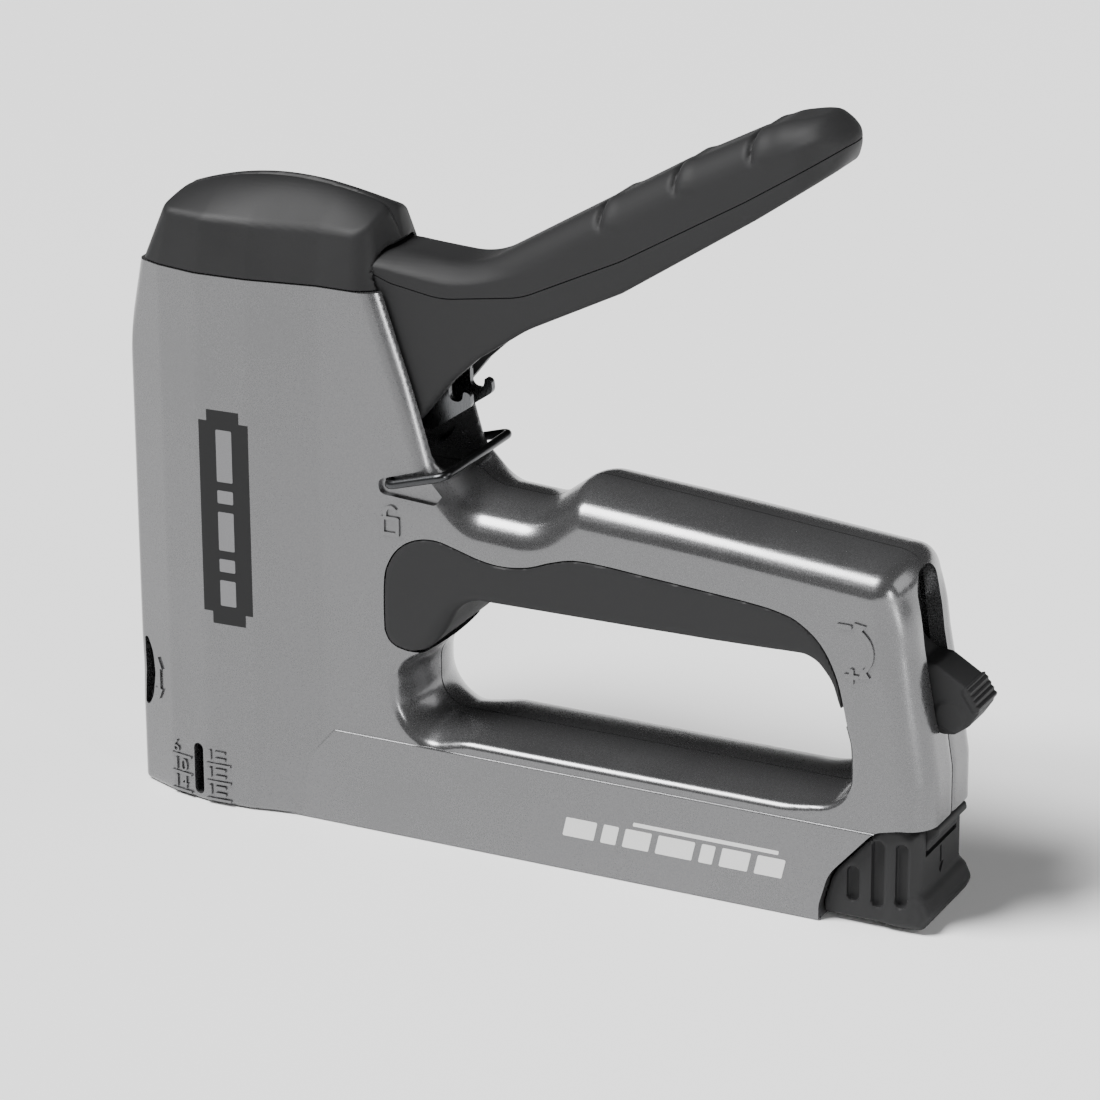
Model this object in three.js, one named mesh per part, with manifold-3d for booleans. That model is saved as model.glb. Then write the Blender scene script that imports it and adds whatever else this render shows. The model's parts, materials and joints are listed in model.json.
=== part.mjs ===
// Hand staple gun with a squeeze handle, a wire handle lock, a power lever and a slide-out magazine.
// Millimetres. X runs from the nose to the back, Z is up, Y = 0 is the joint between the two housings.
// The base stands on Z = 0. The design is drawn with X = 0 at the front of the nose, and the whole
// group is then moved so that the origin is under the middle of the tool.

import * as THREE from 'three';
import { mergeVertices } from 'three/addons/utils/BufferGeometryUtils.js';
import Module from 'manifold-3d';

const wasm = await Module();
wasm.setup();

// ---- driving dimensions ----

const LENGTH = 200; // nose to the tip of the power lever
const GAP = 0.3; // clearance between neighbouring pieces
const HALF = 14.3; // half width of the grip and the magazine
const HEAD_HALF = 17.3; // half width of the bulged head
const CROWN = 5.5; // how far the rounded edge of the grip and the head reaches in
const HEAD_TOP = 124; // joint between the housings and the top cap
const THROAT_HALF = 11; // half width of the slot that the handle works in
const HANDLE_HALF = 10.5;
const GRIP_HALF = 14.8; // half width of the rubber grip insert
const CAP_HALF = 12.7; // half width of the end cap

const HINGE = [63.6, 99.8]; // handle hinge, x and z
const ROLLER_REACH = 28.5; // hinge to lift roller
const ROLLER_DIP = 12; // degrees that the lift arm points down at rest
const BAIL = [67, 82]; // pivot of the wire lock
const BAIL_REACH = 14.6; // pivot to the middle of the cross bar
const BAIL_REST = 16.3; // degrees above level
const BAIL_Y = 15.6;
const WIRE_R = 1;
const POWER = [178.5, 60]; // pivot of the power lever
const CRANK = 9.5; // power lever pivot to the crank pin that moves the link
const LATCH = [183.6, 19.6]; // pivot of the magazine latch
const SPRING_X = 17.6; // axis of the power spring
const RAIL_Z = 8.5; // axis of the follower spring inside the feed rail
const SCREWS = [[14, 36], [56, 29], [50, 66], [181, 34]];

const DEG = Math.PI / 180;
const TOP_OF_TOOL = 160;
const FAR = 400;

// ---- materials ----

const look = (color, roughness, metalness) =>
  new THREE.MeshStandardMaterial({ color, roughness, metalness });
const castGrey = look(0x8f9092, 0.38, 0.55);
const blackPlastic = look(0x3a3a3b, 0.5, 0);
const softBlack = look(0x2c2c2d, 0.62, 0);
const darkSteel = look(0x2a2b2d, 0.35, 0.8);
const brightSteel = look(0xa9abad, 0.3, 0.9);
const springSteel = look(0x77797c, 0.3, 0.9);
const bufferRubber = look(0x1d1d1d, 0.8, 0);

// ---- outlines and solids ----

// A closed outline from corners [a, b, radius]; a radius rounds its corner with an arc.
function outline(corners) {
  const shape = new THREE.Shape();
  const count = corners.length;
  corners.forEach(([a, b, radius = 0], i) => {
    const here = new THREE.Vector2(a, b);
    const back = new THREE.Vector2(...corners[(i + count - 1) % count]).sub(here);
    const ahead = new THREE.Vector2(...corners[(i + 1) % count]).sub(here);
    const half = Math.abs(back.angleTo(ahead)) / 2;
    const cut = Math.min(radius / Math.tan(half), 0.49 * back.length(), 0.49 * ahead.length());
    const turn = back.cross(ahead);
    back.normalize();
    ahead.normalize();
    const start = here.clone().addScaledVector(back, cut);
    const end = here.clone().addScaledVector(ahead, cut);
    if (i) shape.lineTo(start.x, start.y);
    else shape.moveTo(start.x, start.y);
    if (!cut) return;
    const middle = back.add(ahead).setLength(cut / Math.cos(half)).add(here);
    const from = Math.atan2(start.y - middle.y, start.x - middle.x);
    const to = Math.atan2(end.y - middle.y, end.x - middle.x);
    shape.absarc(middle.x, middle.y, cut * Math.tan(half), from, to, turn > 0);
  });
  shape.closePath();
  return shape;
}

// A closed three.js geometry as a manifold solid.
function solid(geometry) {
  const bare = geometry.index ? geometry.toNonIndexed() : geometry.clone();
  bare.deleteAttribute('normal');
  bare.deleteAttribute('uv');
  const merged = mergeVertices(bare, 1e-4);
  return new wasm.Manifold(new wasm.Mesh({
    numProp: 3,
    vertProperties: new Float32Array(merged.attributes.position.array),
    triVerts: new Uint32Array(merged.index.array),
  }));
}

// A manifold solid as a three.js geometry.
function geometryOf(body) {
  const mesh = body.getMesh();
  const geometry = new THREE.BufferGeometry();
  geometry.setAttribute('position', new THREE.BufferAttribute(mesh.vertProperties, 3));
  geometry.setIndex(new THREE.BufferAttribute(mesh.triVerts, 1));
  geometry.computeVertexNormals();
  return geometry;
}

// A side view (x, z) made solid between two values of y. crown rounds both flanks inwards.
function sidePlate(corners, yLow, yHigh, crown = 0, arcs = 2) {
  const depth = yHigh - yLow;
  const geometry = new THREE.ExtrudeGeometry(outline(corners), {
    depth: depth - 2 * crown,
    curveSegments: arcs,
    bevelEnabled: crown > 0,
    bevelThickness: crown,
    bevelSize: crown,
    bevelOffset: -crown,
    bevelSegments: 3,
  });
  return solid(geometry.rotateX(Math.PI / 2).translate(0, yHigh - crown, 0));
}

// A plan view (x, y) made solid between two heights.
function planBlock(corners, zLow, zHigh, arcs = 2) {
  const geometry = new THREE.ExtrudeGeometry(outline(corners), {
    depth: zHigh - zLow,
    curveSegments: arcs,
    bevelEnabled: false,
  });
  return solid(geometry.translate(0, 0, zLow));
}

// A front view (y, z) made solid between two values of x.
function frontBlock(corners, xLow, xHigh, arcs = 2) {
  const geometry = new THREE.ExtrudeGeometry(outline(corners), {
    depth: xHigh - xLow,
    curveSegments: arcs,
    bevelEnabled: false,
  });
  const turn = new THREE.Matrix4().makeBasis(
    new THREE.Vector3(0, 1, 0),
    new THREE.Vector3(0, 0, 1),
    new THREE.Vector3(1, 0, 0),
  );
  return solid(geometry.applyMatrix4(turn).translate(xLow, 0, 0));
}

function block(xLow, xHigh, yLow, yHigh, zLow, zHigh) {
  const geometry = new THREE.BoxGeometry(xHigh - xLow, yHigh - yLow, zHigh - zLow);
  const middle = [(xLow + xHigh) / 2, (yLow + yHigh) / 2, (zLow + zHigh) / 2];
  return solid(geometry.translate(...middle));
}

// A round bar across the tool.
function crossPin([x, z], radius, yLow, yHigh, sides = 16) {
  const geometry = new THREE.CylinderGeometry(radius, radius, yHigh - yLow, sides);
  return solid(geometry.translate(x, (yLow + yHigh) / 2, z));
}

// A round bar along the tool.
function lengthPin(z, radius, xLow, xHigh, sides = 12) {
  const geometry = new THREE.CylinderGeometry(radius, radius, xHigh - xLow, sides);
  return solid(geometry.rotateZ(Math.PI / 2).translate((xLow + xHigh) / 2, 0, z));
}

const mirrored = (halfOutline) => [
  ...halfOutline,
  ...halfOutline.map(([x, y, r]) => [x, -y, r]).reverse(),
];

// A place given by its distance and angle (degrees above level) from a pivot.
const around = ([x, z], reach, degrees) => [
  x + reach * Math.cos(degrees * DEG),
  z + reach * Math.sin(degrees * DEG),
];

class Helix extends THREE.Curve {
  constructor(radius, height, turns) {
    super();
    this.radius = radius;
    this.height = height;
    this.turns = turns;
  }

  getPoint(t, target = new THREE.Vector3()) {
    const angle = 2 * Math.PI * this.turns * t;
    const { radius, height } = this;
    return target.set(radius * Math.cos(angle), radius * Math.sin(angle), height * t);
  }
}

// A coil spring standing on z = 0 around the Z axis.
function coil(radius, wire, height, turns, stepsPerTurn = 9, halfSides = 3) {
  const section = new THREE.Shape().absarc(0, 0, wire, 0, 2 * Math.PI);
  return new THREE.ExtrudeGeometry(section, {
    steps: Math.round(turns * stepsPerTurn),
    curveSegments: halfSides,
    extrudePath: new Helix(radius, height, turns),
  });
}

// ---- housings ----

// Side view of the two housings, without the hand hole. It runs below the base, where it is cut off.
const housingSide = [
  [0, -14, 6], [192.2, -14, 6], [192.4, 34, 10], [190.3, 47, 20], [187.5, 62, 20], [185.2, 80.6, 7],
  [110, 86.9, 7], [100.5, 79.6, 9], [86, 80.4, 9], [78.3, 86.2, 4], [60.5, HEAD_TOP + 14, 6],
  [8, HEAD_TOP + 14, 6], [0, 101, 20],
];

// The lower back edge of the housings, where the end cap fits on.
const capJoint = [[168.4, 3.5, 6], [170.5, 11, 10], [180.5, 22.3, 6], [186.2, 23.7, 4]];
const capCorner = [[168.4, -20], ...capJoint, [210, 23.7], [210, -20]];

// Where the metal stops around the hand hole and the rubber insert.
const handHole = [
  [71.5, 26.7, 9], [173, 26.7, 9], [173.8, 45, 2], [169.5, 59, 6], [161, 69, 9], [150, 69.7, 4],
  [110, 72.1, 6], [100, 68.1, 4], [94, 67.4, 4], [88, 68.1, 3], [76, 70.9, 3], [70, 68, 3],
  [66, 60, 4], [66, 44, 3.5], [71.5, 43.5, 1],
];

const headPlan = mirrored([
  [0, 8.5, 1], [2.5, 11.8, 2], [12, 15.6, 8], [22, HEAD_HALF + 0.2, 10], [34, HEAD_HALF - 0.3, 10],
  [50, HALF, 8], [193.5, HALF, 7],
]);

// The outside of both housings as one body.
function housingOutside() {
  const head = housingSide.map(([x, z, r]) => [Math.min(x, 62), z, Math.max(r, 6)]);
  const headSide = [head[0], [62, -14, 6], [62, HEAD_TOP + 14, 6], ...head.slice(-2)];
  const body = sidePlate(housingSide, -HALF, HALF, CROWN);
  const bulge = sidePlate(headSide, -HEAD_HALF, HEAD_HALF, CROWN);
  return body
    .add(bulge.intersect(block(-1, 52, -FAR, FAR, -FAR, FAR)))
    .intersect(planBlock(headPlan, 0, HEAD_TOP - GAP / 2, 4));
}

// The room that the mechanism needs inside the housings.
function housingRoom() {
  const magazine = block(2.9, 210, -8.3, 8.3, 2.4, 19.5);
  const bladeWay = block(2.9, 4.9, -6.3, 6.3, -1, 51);
  const guideSeat = block(2.9, 6.5, -7.2, 7.2, 19, 51);
  const front = block(2.9, 41, -10.3, 10.3, 49.7, FAR);
  const low = sidePlate([[9, 21.8], [60, 21.8], [63, 26], [63, 45], [38, 47.4], [9, 47.4]], -11, 11);
  const throat = sidePlate(
    [[40, 84], [72, 83.6, 3], [77.4, 84.6, 4], [84, 92], [70, HEAD_TOP + 5], [40, HEAD_TOP + 5]],
    -THROAT_HALF, THROAT_HALF);
  const linkWay = block(30, 183, -4, 4, 72.9, 76.6);
  const linkNose = block(30, 52, -4, 4, 72.9, 90);
  const gripRoom = block(106, 170, -9, 9, 72.9, 76.4);
  const post = sidePlate(
    [[179.3, 41], [186.8, 41], [184.2, 60], [182, 76.6], [163, 76.6], [163, 70.4], [171.4, 60.6]],
    -6.5, 6.5);
  const leverSlot = block(179, 200, -5.5, 5.5, 42.4, 78);
  return [magazine, bladeWay, guideSeat, front, low, throat, linkWay, linkNose, gripRoom, post,
    leverSlot].reduce((all, one) => all.add(one));
}

// Openings that show from outside: the hand hole, the nose window and scoop and the leg-length slot.
function housingOpenings() {
  const hole = sidePlate(handHole, -FAR, FAR);
  const scoop = crossPin([-35.8, 27.5], 37.6, -FAR, FAR, 120);
  const window = sidePlate([[2, 17.5, 1], [5.2, 22, 8], [5.7, 27, 8], [5.2, 32, 8], [3, 36, 1]],
    -FAR, FAR, 0, 4);
  const sliderWay = block(0.9, 4.9, -8.4, 8.4, 15.6, 38.6);
  const legSlot = sidePlate([[17.8, 1.5, 1.2], [20.2, 1.5, 1.2], [20.2, 13.5, 1.2], [17.8, 13.5, 1.2]],
    -FAR, FAR);
  const corner = sidePlate(capCorner, -FAR, FAR);
  return [hole, scoop, window, sliderWay, legSlot, corner].reduce((all, one) => all.add(one));
}

function screwPillars() {
  const pillars = SCREWS.map((at) => crossPin(at, 3.9, -12.5, 12.5, 14));
  return pillars.reduce((all, one) => all.add(one));
}

// Holes for the handle hinge, the wire lock and the power lever pin.
function pinHoles() {
  const hinge = crossPin(HINGE, 2.8, -13.1, 13.1);
  const lever = crossPin(POWER, 2.3, -9.5, 9.5, 12);
  const nearBail = crossPin(BAIL, WIRE_R + 0.4, -FAR, -11.3, 10);
  const farBail = crossPin(BAIL, WIRE_R + 0.4, 11.3, FAR, 10);
  return hinge.add(lever).add(nearBail).add(farBail);
}

function housings() {
  const outside = housingOutside();
  const hollow = outside.subtract(housingRoom());
  const withPillars = hollow.add(screwPillars());
  const whole = withPillars.subtract(housingOpenings()).subtract(pinHoles());
  const left = whole.intersect(block(-FAR, FAR, -FAR, -GAP / 2, -FAR, FAR));
  const right = whole.intersect(block(-FAR, FAR, GAP / 2, FAR, -FAR, FAR));
  const shanks = SCREWS.map((at) => crossPin(at, 1.8, -9.5, FAR, 10));
  const heads = SCREWS.map((at) => crossPin(at, 3.1, HALF - 2.6, FAR, 12));
  const drill = [...shanks, ...heads].reduce((all, one) => all.add(one));
  return { left: left.subtract(drill), right: right.subtract(drill) };
}

// A housing screw: head on the right side, shank reaching into the left housing.
function screw(at) {
  const drive = crossPin(at, 1.3, HALF - 1.6, FAR, 6);
  return crossPin(at, 1.5, -9, HALF - 2, 10)
    .add(crossPin(at, 2.8, HALF - 2.3, HALF - 0.4, 12))
    .subtract(drive);
}

// ---- top cap, grip insert, nose ----

const capSide = [
  [6.3, HEAD_TOP + GAP / 2], [61.4, HEAD_TOP + GAP / 2], [65, 132], [61.4, 140, 2],
  [52, 142.8, 12], [40, 144.2, 12], [21, 142.3, 12], [11.6, 138.6, 4], [8, 131, 6],
];
const capFront = [
  [HEAD_HALF + 1, HEAD_TOP], [HEAD_HALF - 0.6, 129], [13.2, 137.4, 2], [6, 144.6, 8],
  [-6, 144.6, 8], [-13.2, 137.4, 2], [-HEAD_HALF + 0.6, 129], [-HEAD_HALF - 1, HEAD_TOP],
];

// The cap is open at the back for the neck of the handle, and hollow over the striker.
function topCap() {
  const outside = sidePlate(capSide, -FAR, FAR, 0, 4)
    .intersect(frontBlock(capFront, 0, 80))
    .intersect(planBlock(headPlan, HEAD_TOP, TOP_OF_TOOL, 4));
  const handleRoom = frontBlock(
    [[-10.9, 120], [10.9, 120], [10.9, 132.4, 3.2], [-10.9, 132.4, 3.2]], 46, 80);
  const strikerRoom = block(29, 47, -9, 9, 120, 133);
  return outside.subtract(handleRoom).subtract(strikerRoom);
}

function gripInsert() {
  const corners = [
    [66.3, 44.3, 3.2], [66.3, 59.9, 3.7], [70.2, 67.8, 2.7], [76, 70.6, 2.7], [88, 67.8, 3],
    [94, 67.1, 4], [100, 67.8, 4], [110, 71.8, 6], [150, 69.4, 4], [160.8, 68.7, 8.7],
    [169.2, 58.9, 6], [173.4, 45.3, 1], [171, 52, 4], [167, 57.5, 5], [160, 60, 4], [84, 58.6, 6],
    [78, 47.5, 3], [71.8, 44.3, 1],
  ];
  return sidePlate(corners.reverse(), -GRIP_HALF, GRIP_HALF, 0, 4);
}

// Ribbed slide in the nose scoop. It moves up and down.
function noseSlide() {
  const plate = block(1.8, 2.6, -8.1, 8.1, 20.3, 32.7);
  const cheek = (side) => block(1.8, 4.6, Math.min(side * 7.4, side * 8.1),
    Math.max(side * 7.4, side * 8.1), 20.3, 32.7);
  const ribs = [0, 1, 2, 3, 4, 5].map((i) => block(1.3, 2, -7.8, 7.8, 20.6 + 2.2 * i, 21.6 + 2.2 * i));
  return [cheek(1), cheek(-1), ...ribs].reduce((all, one) => all.add(one), plate);
}

// ---- striker, blade and power spring ----

function strikerBlock() {
  const channel = sidePlate(
    [[4.9, 56], [31, 56], [31, 102], [28.6, 102], [28.6, 60], [6.6, 60], [6.6, 80], [4.9, 80]], -8, 8);
  const ledge = block(30, 40, -3.8, 3.8, 97.8, 102);
  return channel.add(ledge);
}

const driverBlade = () => block(3.3, 4.5, -5.4, 5.4, 1.5, 80);

function powerSpring() {
  const geometry = coil(8.2, 1.25, 57.6, 9);
  return geometry.translate(SPRING_X, 0, 61.6);
}

function springSeat() {
  const disc = new THREE.CylinderGeometry(10, 10, 2.6, 20).rotateX(Math.PI / 2);
  const post = new THREE.CylinderGeometry(5.4, 5.4, 6, 16).rotateX(Math.PI / 2);
  return solid(disc.translate(SPRING_X, 0, 122.6)).add(solid(post.translate(SPRING_X, 0, 119)));
}

const bumperPad = () => block(8, 40, -9.5, 9.5, 50, 55.6);

const bladeGuide = () => block(5.2, 6.2, -6.9, 6.9, 20, 49.4);

// ---- handle ----

const handleSide = [
  [54, 93.6, 5], [68, 91.6, 4], [72.6, 96.2, 8], [80, 105.5, 4], [86, 111.2, 6], [98, 119.6, 30],
  [120, 130.8, 10], [150, 151.8, 8], [168.6, 166.4, 3.6], [163.4, 173, 6],
  [154, 170.7, 8], [130, 158.2, 10], [100, 140.2, 10], [84, 130.6, 20], [64, 131.6, 20],
  [52.4, 129, 4], [50.6, 118, 4],
];

const seam = [
  [40, 126.5], [61, 127.6], [66, 125.8, 6], [78, 123.9, 20], [97, 126.9, 20], [120, 138, 30],
  [148, 154.5, 10], [167.6, 167], [190, 175],
];

const aboveSeam = [...seam, [190, 200], [40, 200]];
const belowSeam = [[40, 60], [190, 60], ...seam.toReversed()];

function handleCover() {
  const full = sidePlate(handleSide, -HANDLE_HALF, HANDLE_HALF, 3);
  const up = sidePlate(aboveSeam.map(([x, z, r]) => [x, z + GAP / 2, r]), -FAR, FAR);
  const notches = [[113.6, 148.4], [130.4, 158.2], [147.2, 167]].map(([x, z]) =>
    solid(new THREE.BoxGeometry(2, 2 * HANDLE_HALF + 2, 2).rotateY(35 * DEG).translate(x, 0, z + 0.4)));
  const room = sidePlate([[40, 118], [62, 118], [70, 121], [70, 124.5, 2], [40, 124.5]], -FAR, FAR);
  const grooves = notches.reduce((all, one) => all.add(one));
  return full.intersect(up).subtract(room).subtract(grooves);
}

function handleLever() {
  const full = sidePlate(handleSide, -HANDLE_HALF, HANDLE_HALF, 3);
  const square = sidePlate(handleSide, -HANDLE_HALF, HANDLE_HALF)
    .intersect(block(0, 90, -FAR, FAR, 0, FAR));
  const down = sidePlate(belowSeam.map(([x, z, r]) => [x, z - GAP / 2, r]), -FAR, FAR);
  const room = sidePlate(
    [[40, 80], [90, 80], [101, 118.6], [118, 128], [134, 138.8], [134, 143], [119, 134.6],
      [97, 124], [80, 121.3], [66, 122.8], [57, 124.4], [40, 124.4]], -7.2, 7.2);
  const hingeHole = crossPin(HINGE, 2.8, -FAR, FAR);
  return full.add(square).intersect(down).subtract(room).subtract(hingeHole);
}

const rollerAt = around(HINGE, -ROLLER_REACH, ROLLER_DIP);

// Steel frame of the handle: two side plates with the lift arms in front and the lock hooks behind.
function handleFrame() {
  const [rx, rz] = rollerAt;
  const plates = [
    [rx - 3.3, rz + 3.3, 3], [rx - 3.3, rz - 3.4, 3], [rx + 4, rz - 3.6, 2], [58, 93.6, 4],
    [73, 92.4, 2], [82.6, 99.1, 1.6], [82.2, 101.9, 1], [80.5, 101.6, 0.4], [80.4, 99.8, 1.5],
    [77.3, 99.8, 1.5], [77.2, 104, 2], [80.5, 109.4, 2], [100, 121, 6], [115, 128.6, 2],
    [115, 131.4, 2], [97, 122.4, 12], [80, 119.8, 12], [62, 121.6, 4], [57, 115, 6],
    [53, 103.6, 6], [rx + 4, rz + 4.2, 3],
  ];
  const slab = sidePlate(plates, -5.75, 5.75, 0, 1);
  const inside = sidePlate(
    [[20, 80], [90, 80], [90, 113], [116.5, 127.5], [96, 120.4], [80, 118], [64, 119.4], [20, 119.4]],
    -4.25, 4.25);
  const holes = crossPin(HINGE, 2.8, -FAR, FAR).add(crossPin(rollerAt, 1.6, -FAR, FAR, 10));
  return slab.subtract(inside).subtract(holes);
}

const liftRoller = () => crossPin(rollerAt, 3.1, -3.7, 3.7, 16)
  .subtract(crossPin(rollerAt, 1.6, -9, 9, 10));
const rollerPin = () => crossPin(rollerAt, 1.3, -6.6, 6.6, 10);
const hingePin = () => crossPin(HINGE, 2.5, -12.8, 12.8, 16);

function returnSpring() {
  const geometry = coil(4.1, 0.55, 7, 5);
  return geometry.rotateX(Math.PI / 2).translate(HINGE[0], 3.5, HINGE[1]);
}

// ---- wire lock ----

function bailWire() {
  const [x, z] = BAIL;
  const [barX, barZ] = around(BAIL, BAIL_REACH, BAIL_REST);
  const bend = 2.2;
  const place = (px, py, pz) => new THREE.Vector3(px, py, pz);
  const corners = [
    place(x, -11.6, z), place(x, -BAIL_Y, z), place(barX, -BAIL_Y, barZ),
    place(barX, BAIL_Y, barZ), place(x, BAIL_Y, z), place(x, 11.6, z),
  ];
  const path = new THREE.CurvePath();
  let from = corners[0];
  for (let i = 1; i < corners.length - 1; i += 1) {
    const into = corners[i].clone().sub(corners[i - 1]).setLength(bend);
    const out = corners[i + 1].clone().sub(corners[i]).setLength(bend);
    const start = corners[i].clone().sub(into);
    const end = corners[i].clone().add(out);
    path.add(new THREE.LineCurve3(from, start));
    path.add(new THREE.QuadraticBezierCurve3(start, corners[i], end));
    from = end;
  }
  path.add(new THREE.LineCurve3(from, corners[corners.length - 1]));
  const section = new THREE.Shape().absarc(0, 0, WIRE_R, 0, 2 * Math.PI);
  return new THREE.ExtrudeGeometry(section, { steps: 52, curveSegments: 4, extrudePath: path });
}

// ---- power lever and its link ----

function powerLever() {
  const [x, z] = POWER;
  const hub = crossPin(POWER, 4.8, -4.6, 4.6, 16);
  const tab = sidePlate(
    [[x + 2.6, z - 4.6], [187, 46.6, 1], [191, 43, 2], [194.2, 43.4, 1], [196.6, 45, 1], [200, 51.2],
      [200, 52.6], [190, 58.4, 1], [186.4, 58.6, 1], [x, z + 4.6]], -5, 5);
  const arm = sidePlate(
    [[x - 2.2, z], [x + 2.2, z], [x + 1.6, z + CRANK], [x - 1.6, z + CRANK]], -1.2, 1.2);
  const crankPin = crossPin([x, z + CRANK], 1.4, -3, 3, 10);
  const hole = crossPin(POWER, 2.3, -FAR, FAR, 12);
  return [tab, arm, crankPin].reduce((all, one) => all.add(one), hub).subtract(hole);
}

const leverPin = () => crossPin(POWER, 2, -9.2, 9.2, 12);

// Flat bar through the grip. Its fork holds the crank pin and its nose stands by the lift arm.
function powerLink() {
  const [x, z] = [POWER[0], POWER[1] + CRANK];
  const bar = block(43, x + 3.9, -3, 3, 73.6, 76.2);
  const nose = block(43, 47, -3, 3, 75, 86);
  const front = block(x - 4.6, x - 2.1, -3, 3, z - 3, 74);
  const back = block(x + 2.1, x + 3.9, -3, 3, z - 1.5, 74);
  return bar.add(nose).add(front).add(back);
}

// ---- magazine ----

const guideChannel = () => block(6.6, 167, -8, 8, 2.8, 19)
  .subtract(block(0, 200, -7, 7, 0, 18))
  .subtract(sidePlate([[17.8, 1.5], [20.2, 1.5], [20.2, 13.5], [17.8, 13.5]], -FAR, FAR));

const feedRail = () => block(7.2, 181, -4.8, 4.8, 3, 14)
  .subtract(block(0, 200, -3.8, 3.8, 0, 13))
  .subtract(block(11, 160, -1.3, 1.3, 10, 20));

function follower() {
  const saddle = block(9, 24, -6.5, 6.5, 5, 16.2).subtract(block(0, 30, -5.1, 5.1, 0, 14.3));
  const fin = block(15, 21, -0.9, 0.9, 10, 15);
  const cup = block(15, 21, -3.4, 3.4, 5.2, 11.6).subtract(lengthPin(RAIL_Z, 1.5, 0, 60, 10));
  return saddle.add(fin).add(cup);
}

const springRod = () => lengthPin(RAIL_Z, 1.1, 11, 176, 10);

function followerSpring() {
  const geometry = coil(2.5, 0.5, 146, 18, 7, 2);
  return geometry.rotateY(Math.PI / 2).translate(22.2, 0, RAIL_Z);
}

const endCapSide = [
  [168.9, 1.2, 0.6], [184, 1.2, 3], [190.4, 0.6, 2], [192.6, 4, 2], [190.6, 8.6, 1.5], [190, 22.6, 1],
  ...capJoint.map(([x, z, r]) => [x + GAP, z - GAP, r]).reverse(),
];

function endCap() {
  const body = sidePlate(endCapSide, -CAP_HALF, CAP_HALF);
  const plug = block(160, 176, -6.9, 6.9, 3, 17).subtract(block(0, 168.5, -5.2, 5.2, 0, 14.5));
  const railRoom = block(0, 181.4, -5.1, 5.1, 2.7, 14.3);
  const latchRoom = block(181.6, 200, -8.5, 8.5, 16.2, 40);
  const grooves = [[175.3, 5, 13], [181.2, 4.5, 20.5], [187.2, 5.5, 20.5]].map(([x, zLow, zHigh]) => {
    const slot = [
      [x - 1.4, zLow, 1.3], [x + 1.4, zLow, 1.3], [x + 1.4, zHigh, 1.3], [x - 1.4, zHigh, 1.3],
    ];
    return sidePlate(slot, -FAR, -CAP_HALF + 0.7).add(sidePlate(slot, CAP_HALF - 0.7, FAR));
  });
  return grooves.reduce((all, one) => all.subtract(one),
    body.add(plug).subtract(railRoom).subtract(latchRoom).subtract(crossPin(LATCH, 1.3, -10.6, 10.6, 10)));
}

function magazineLatch() {
  const tongue = sidePlate(
    [[182, 17.8, 1.4], [190.2, 18.2, 1], [191.6, 19.6, 1], [192.2, 22.2, 1], [190.6, 23.1, 1],
      [186.4, 22.8, 1], [182, 21.2, 1.4]], -8.2, 8.2);
  return tongue.subtract(crossPin(LATCH, 1.3, -FAR, FAR, 10));
}

const latchPin = () => crossPin(LATCH, 1, -10.2, 10.2, 10);

// ---- assembly ----

const tool = new THREE.Group();
tool.position.x = -LENGTH / 2;

function place(name, body, material) {
  const geometry = body.getMesh ? geometryOf(body) : body;
  const mesh = new THREE.Mesh(geometry, material);
  mesh.name = name;
  tool.add(mesh);
}

const { left, right } = housings();
place('left_housing', left, castGrey);
place('right_housing', right, castGrey);
place('top_cap', topCap(), blackPlastic);
place('grip_insert', gripInsert(), softBlack);
place('nose_slide', noseSlide(), blackPlastic);
place('blade_guide', bladeGuide(), brightSteel);
place('bumper_pad', bumperPad(), bufferRubber);
place('spring_seat', springSeat(), darkSteel);
place('magazine_guide', guideChannel(), brightSteel);
place('handle_hinge_pin', hingePin(), brightSteel);
place('handle_return_spring', returnSpring(), springSteel);
place('power_lever_pin', leverPin(), brightSteel);
SCREWS.forEach((at, i) => place(`housing_screw_${i + 1}`, screw(at), darkSteel));

place('handle_lever', handleLever(), blackPlastic);
place('handle_cover', handleCover(), softBlack);
place('handle_frame', handleFrame(), darkSteel);
place('lift_roller', liftRoller(), brightSteel);
place('roller_pin', rollerPin(), brightSteel);

place('striker_block', strikerBlock(), darkSteel);
place('driver_blade', driverBlade(), brightSteel);
place('power_spring', powerSpring(), springSteel);

place('lock_bail', bailWire(), darkSteel);
place('power_lever', powerLever(), blackPlastic);
place('power_link', powerLink(), brightSteel);

place('end_cap', endCap(), blackPlastic);
place('feed_rail', feedRail(), brightSteel);
place('spring_rod', springRod(), brightSteel);
place('staple_follower', follower(), darkSteel);
place('follower_spring', followerSpring(), springSteel);
place('magazine_latch', magazineLatch(), blackPlastic);
place('latch_pin', latchPin(), brightSteel);

const assembly = new THREE.Group();
assembly.add(tool);

export default assembly;
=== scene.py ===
"""Staple gun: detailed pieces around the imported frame.

Lengths in this script are millimetres in the tool's own drawing: x from the front of the nose to the
back, y across (the left side is negative) and z up from the base. row() turns them into the row frame.
"""

import json
import math

import bpy
import numpy as np
from mathutils import Matrix, Vector
from mathutils.geometry import delaunay_2d_cdt


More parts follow.
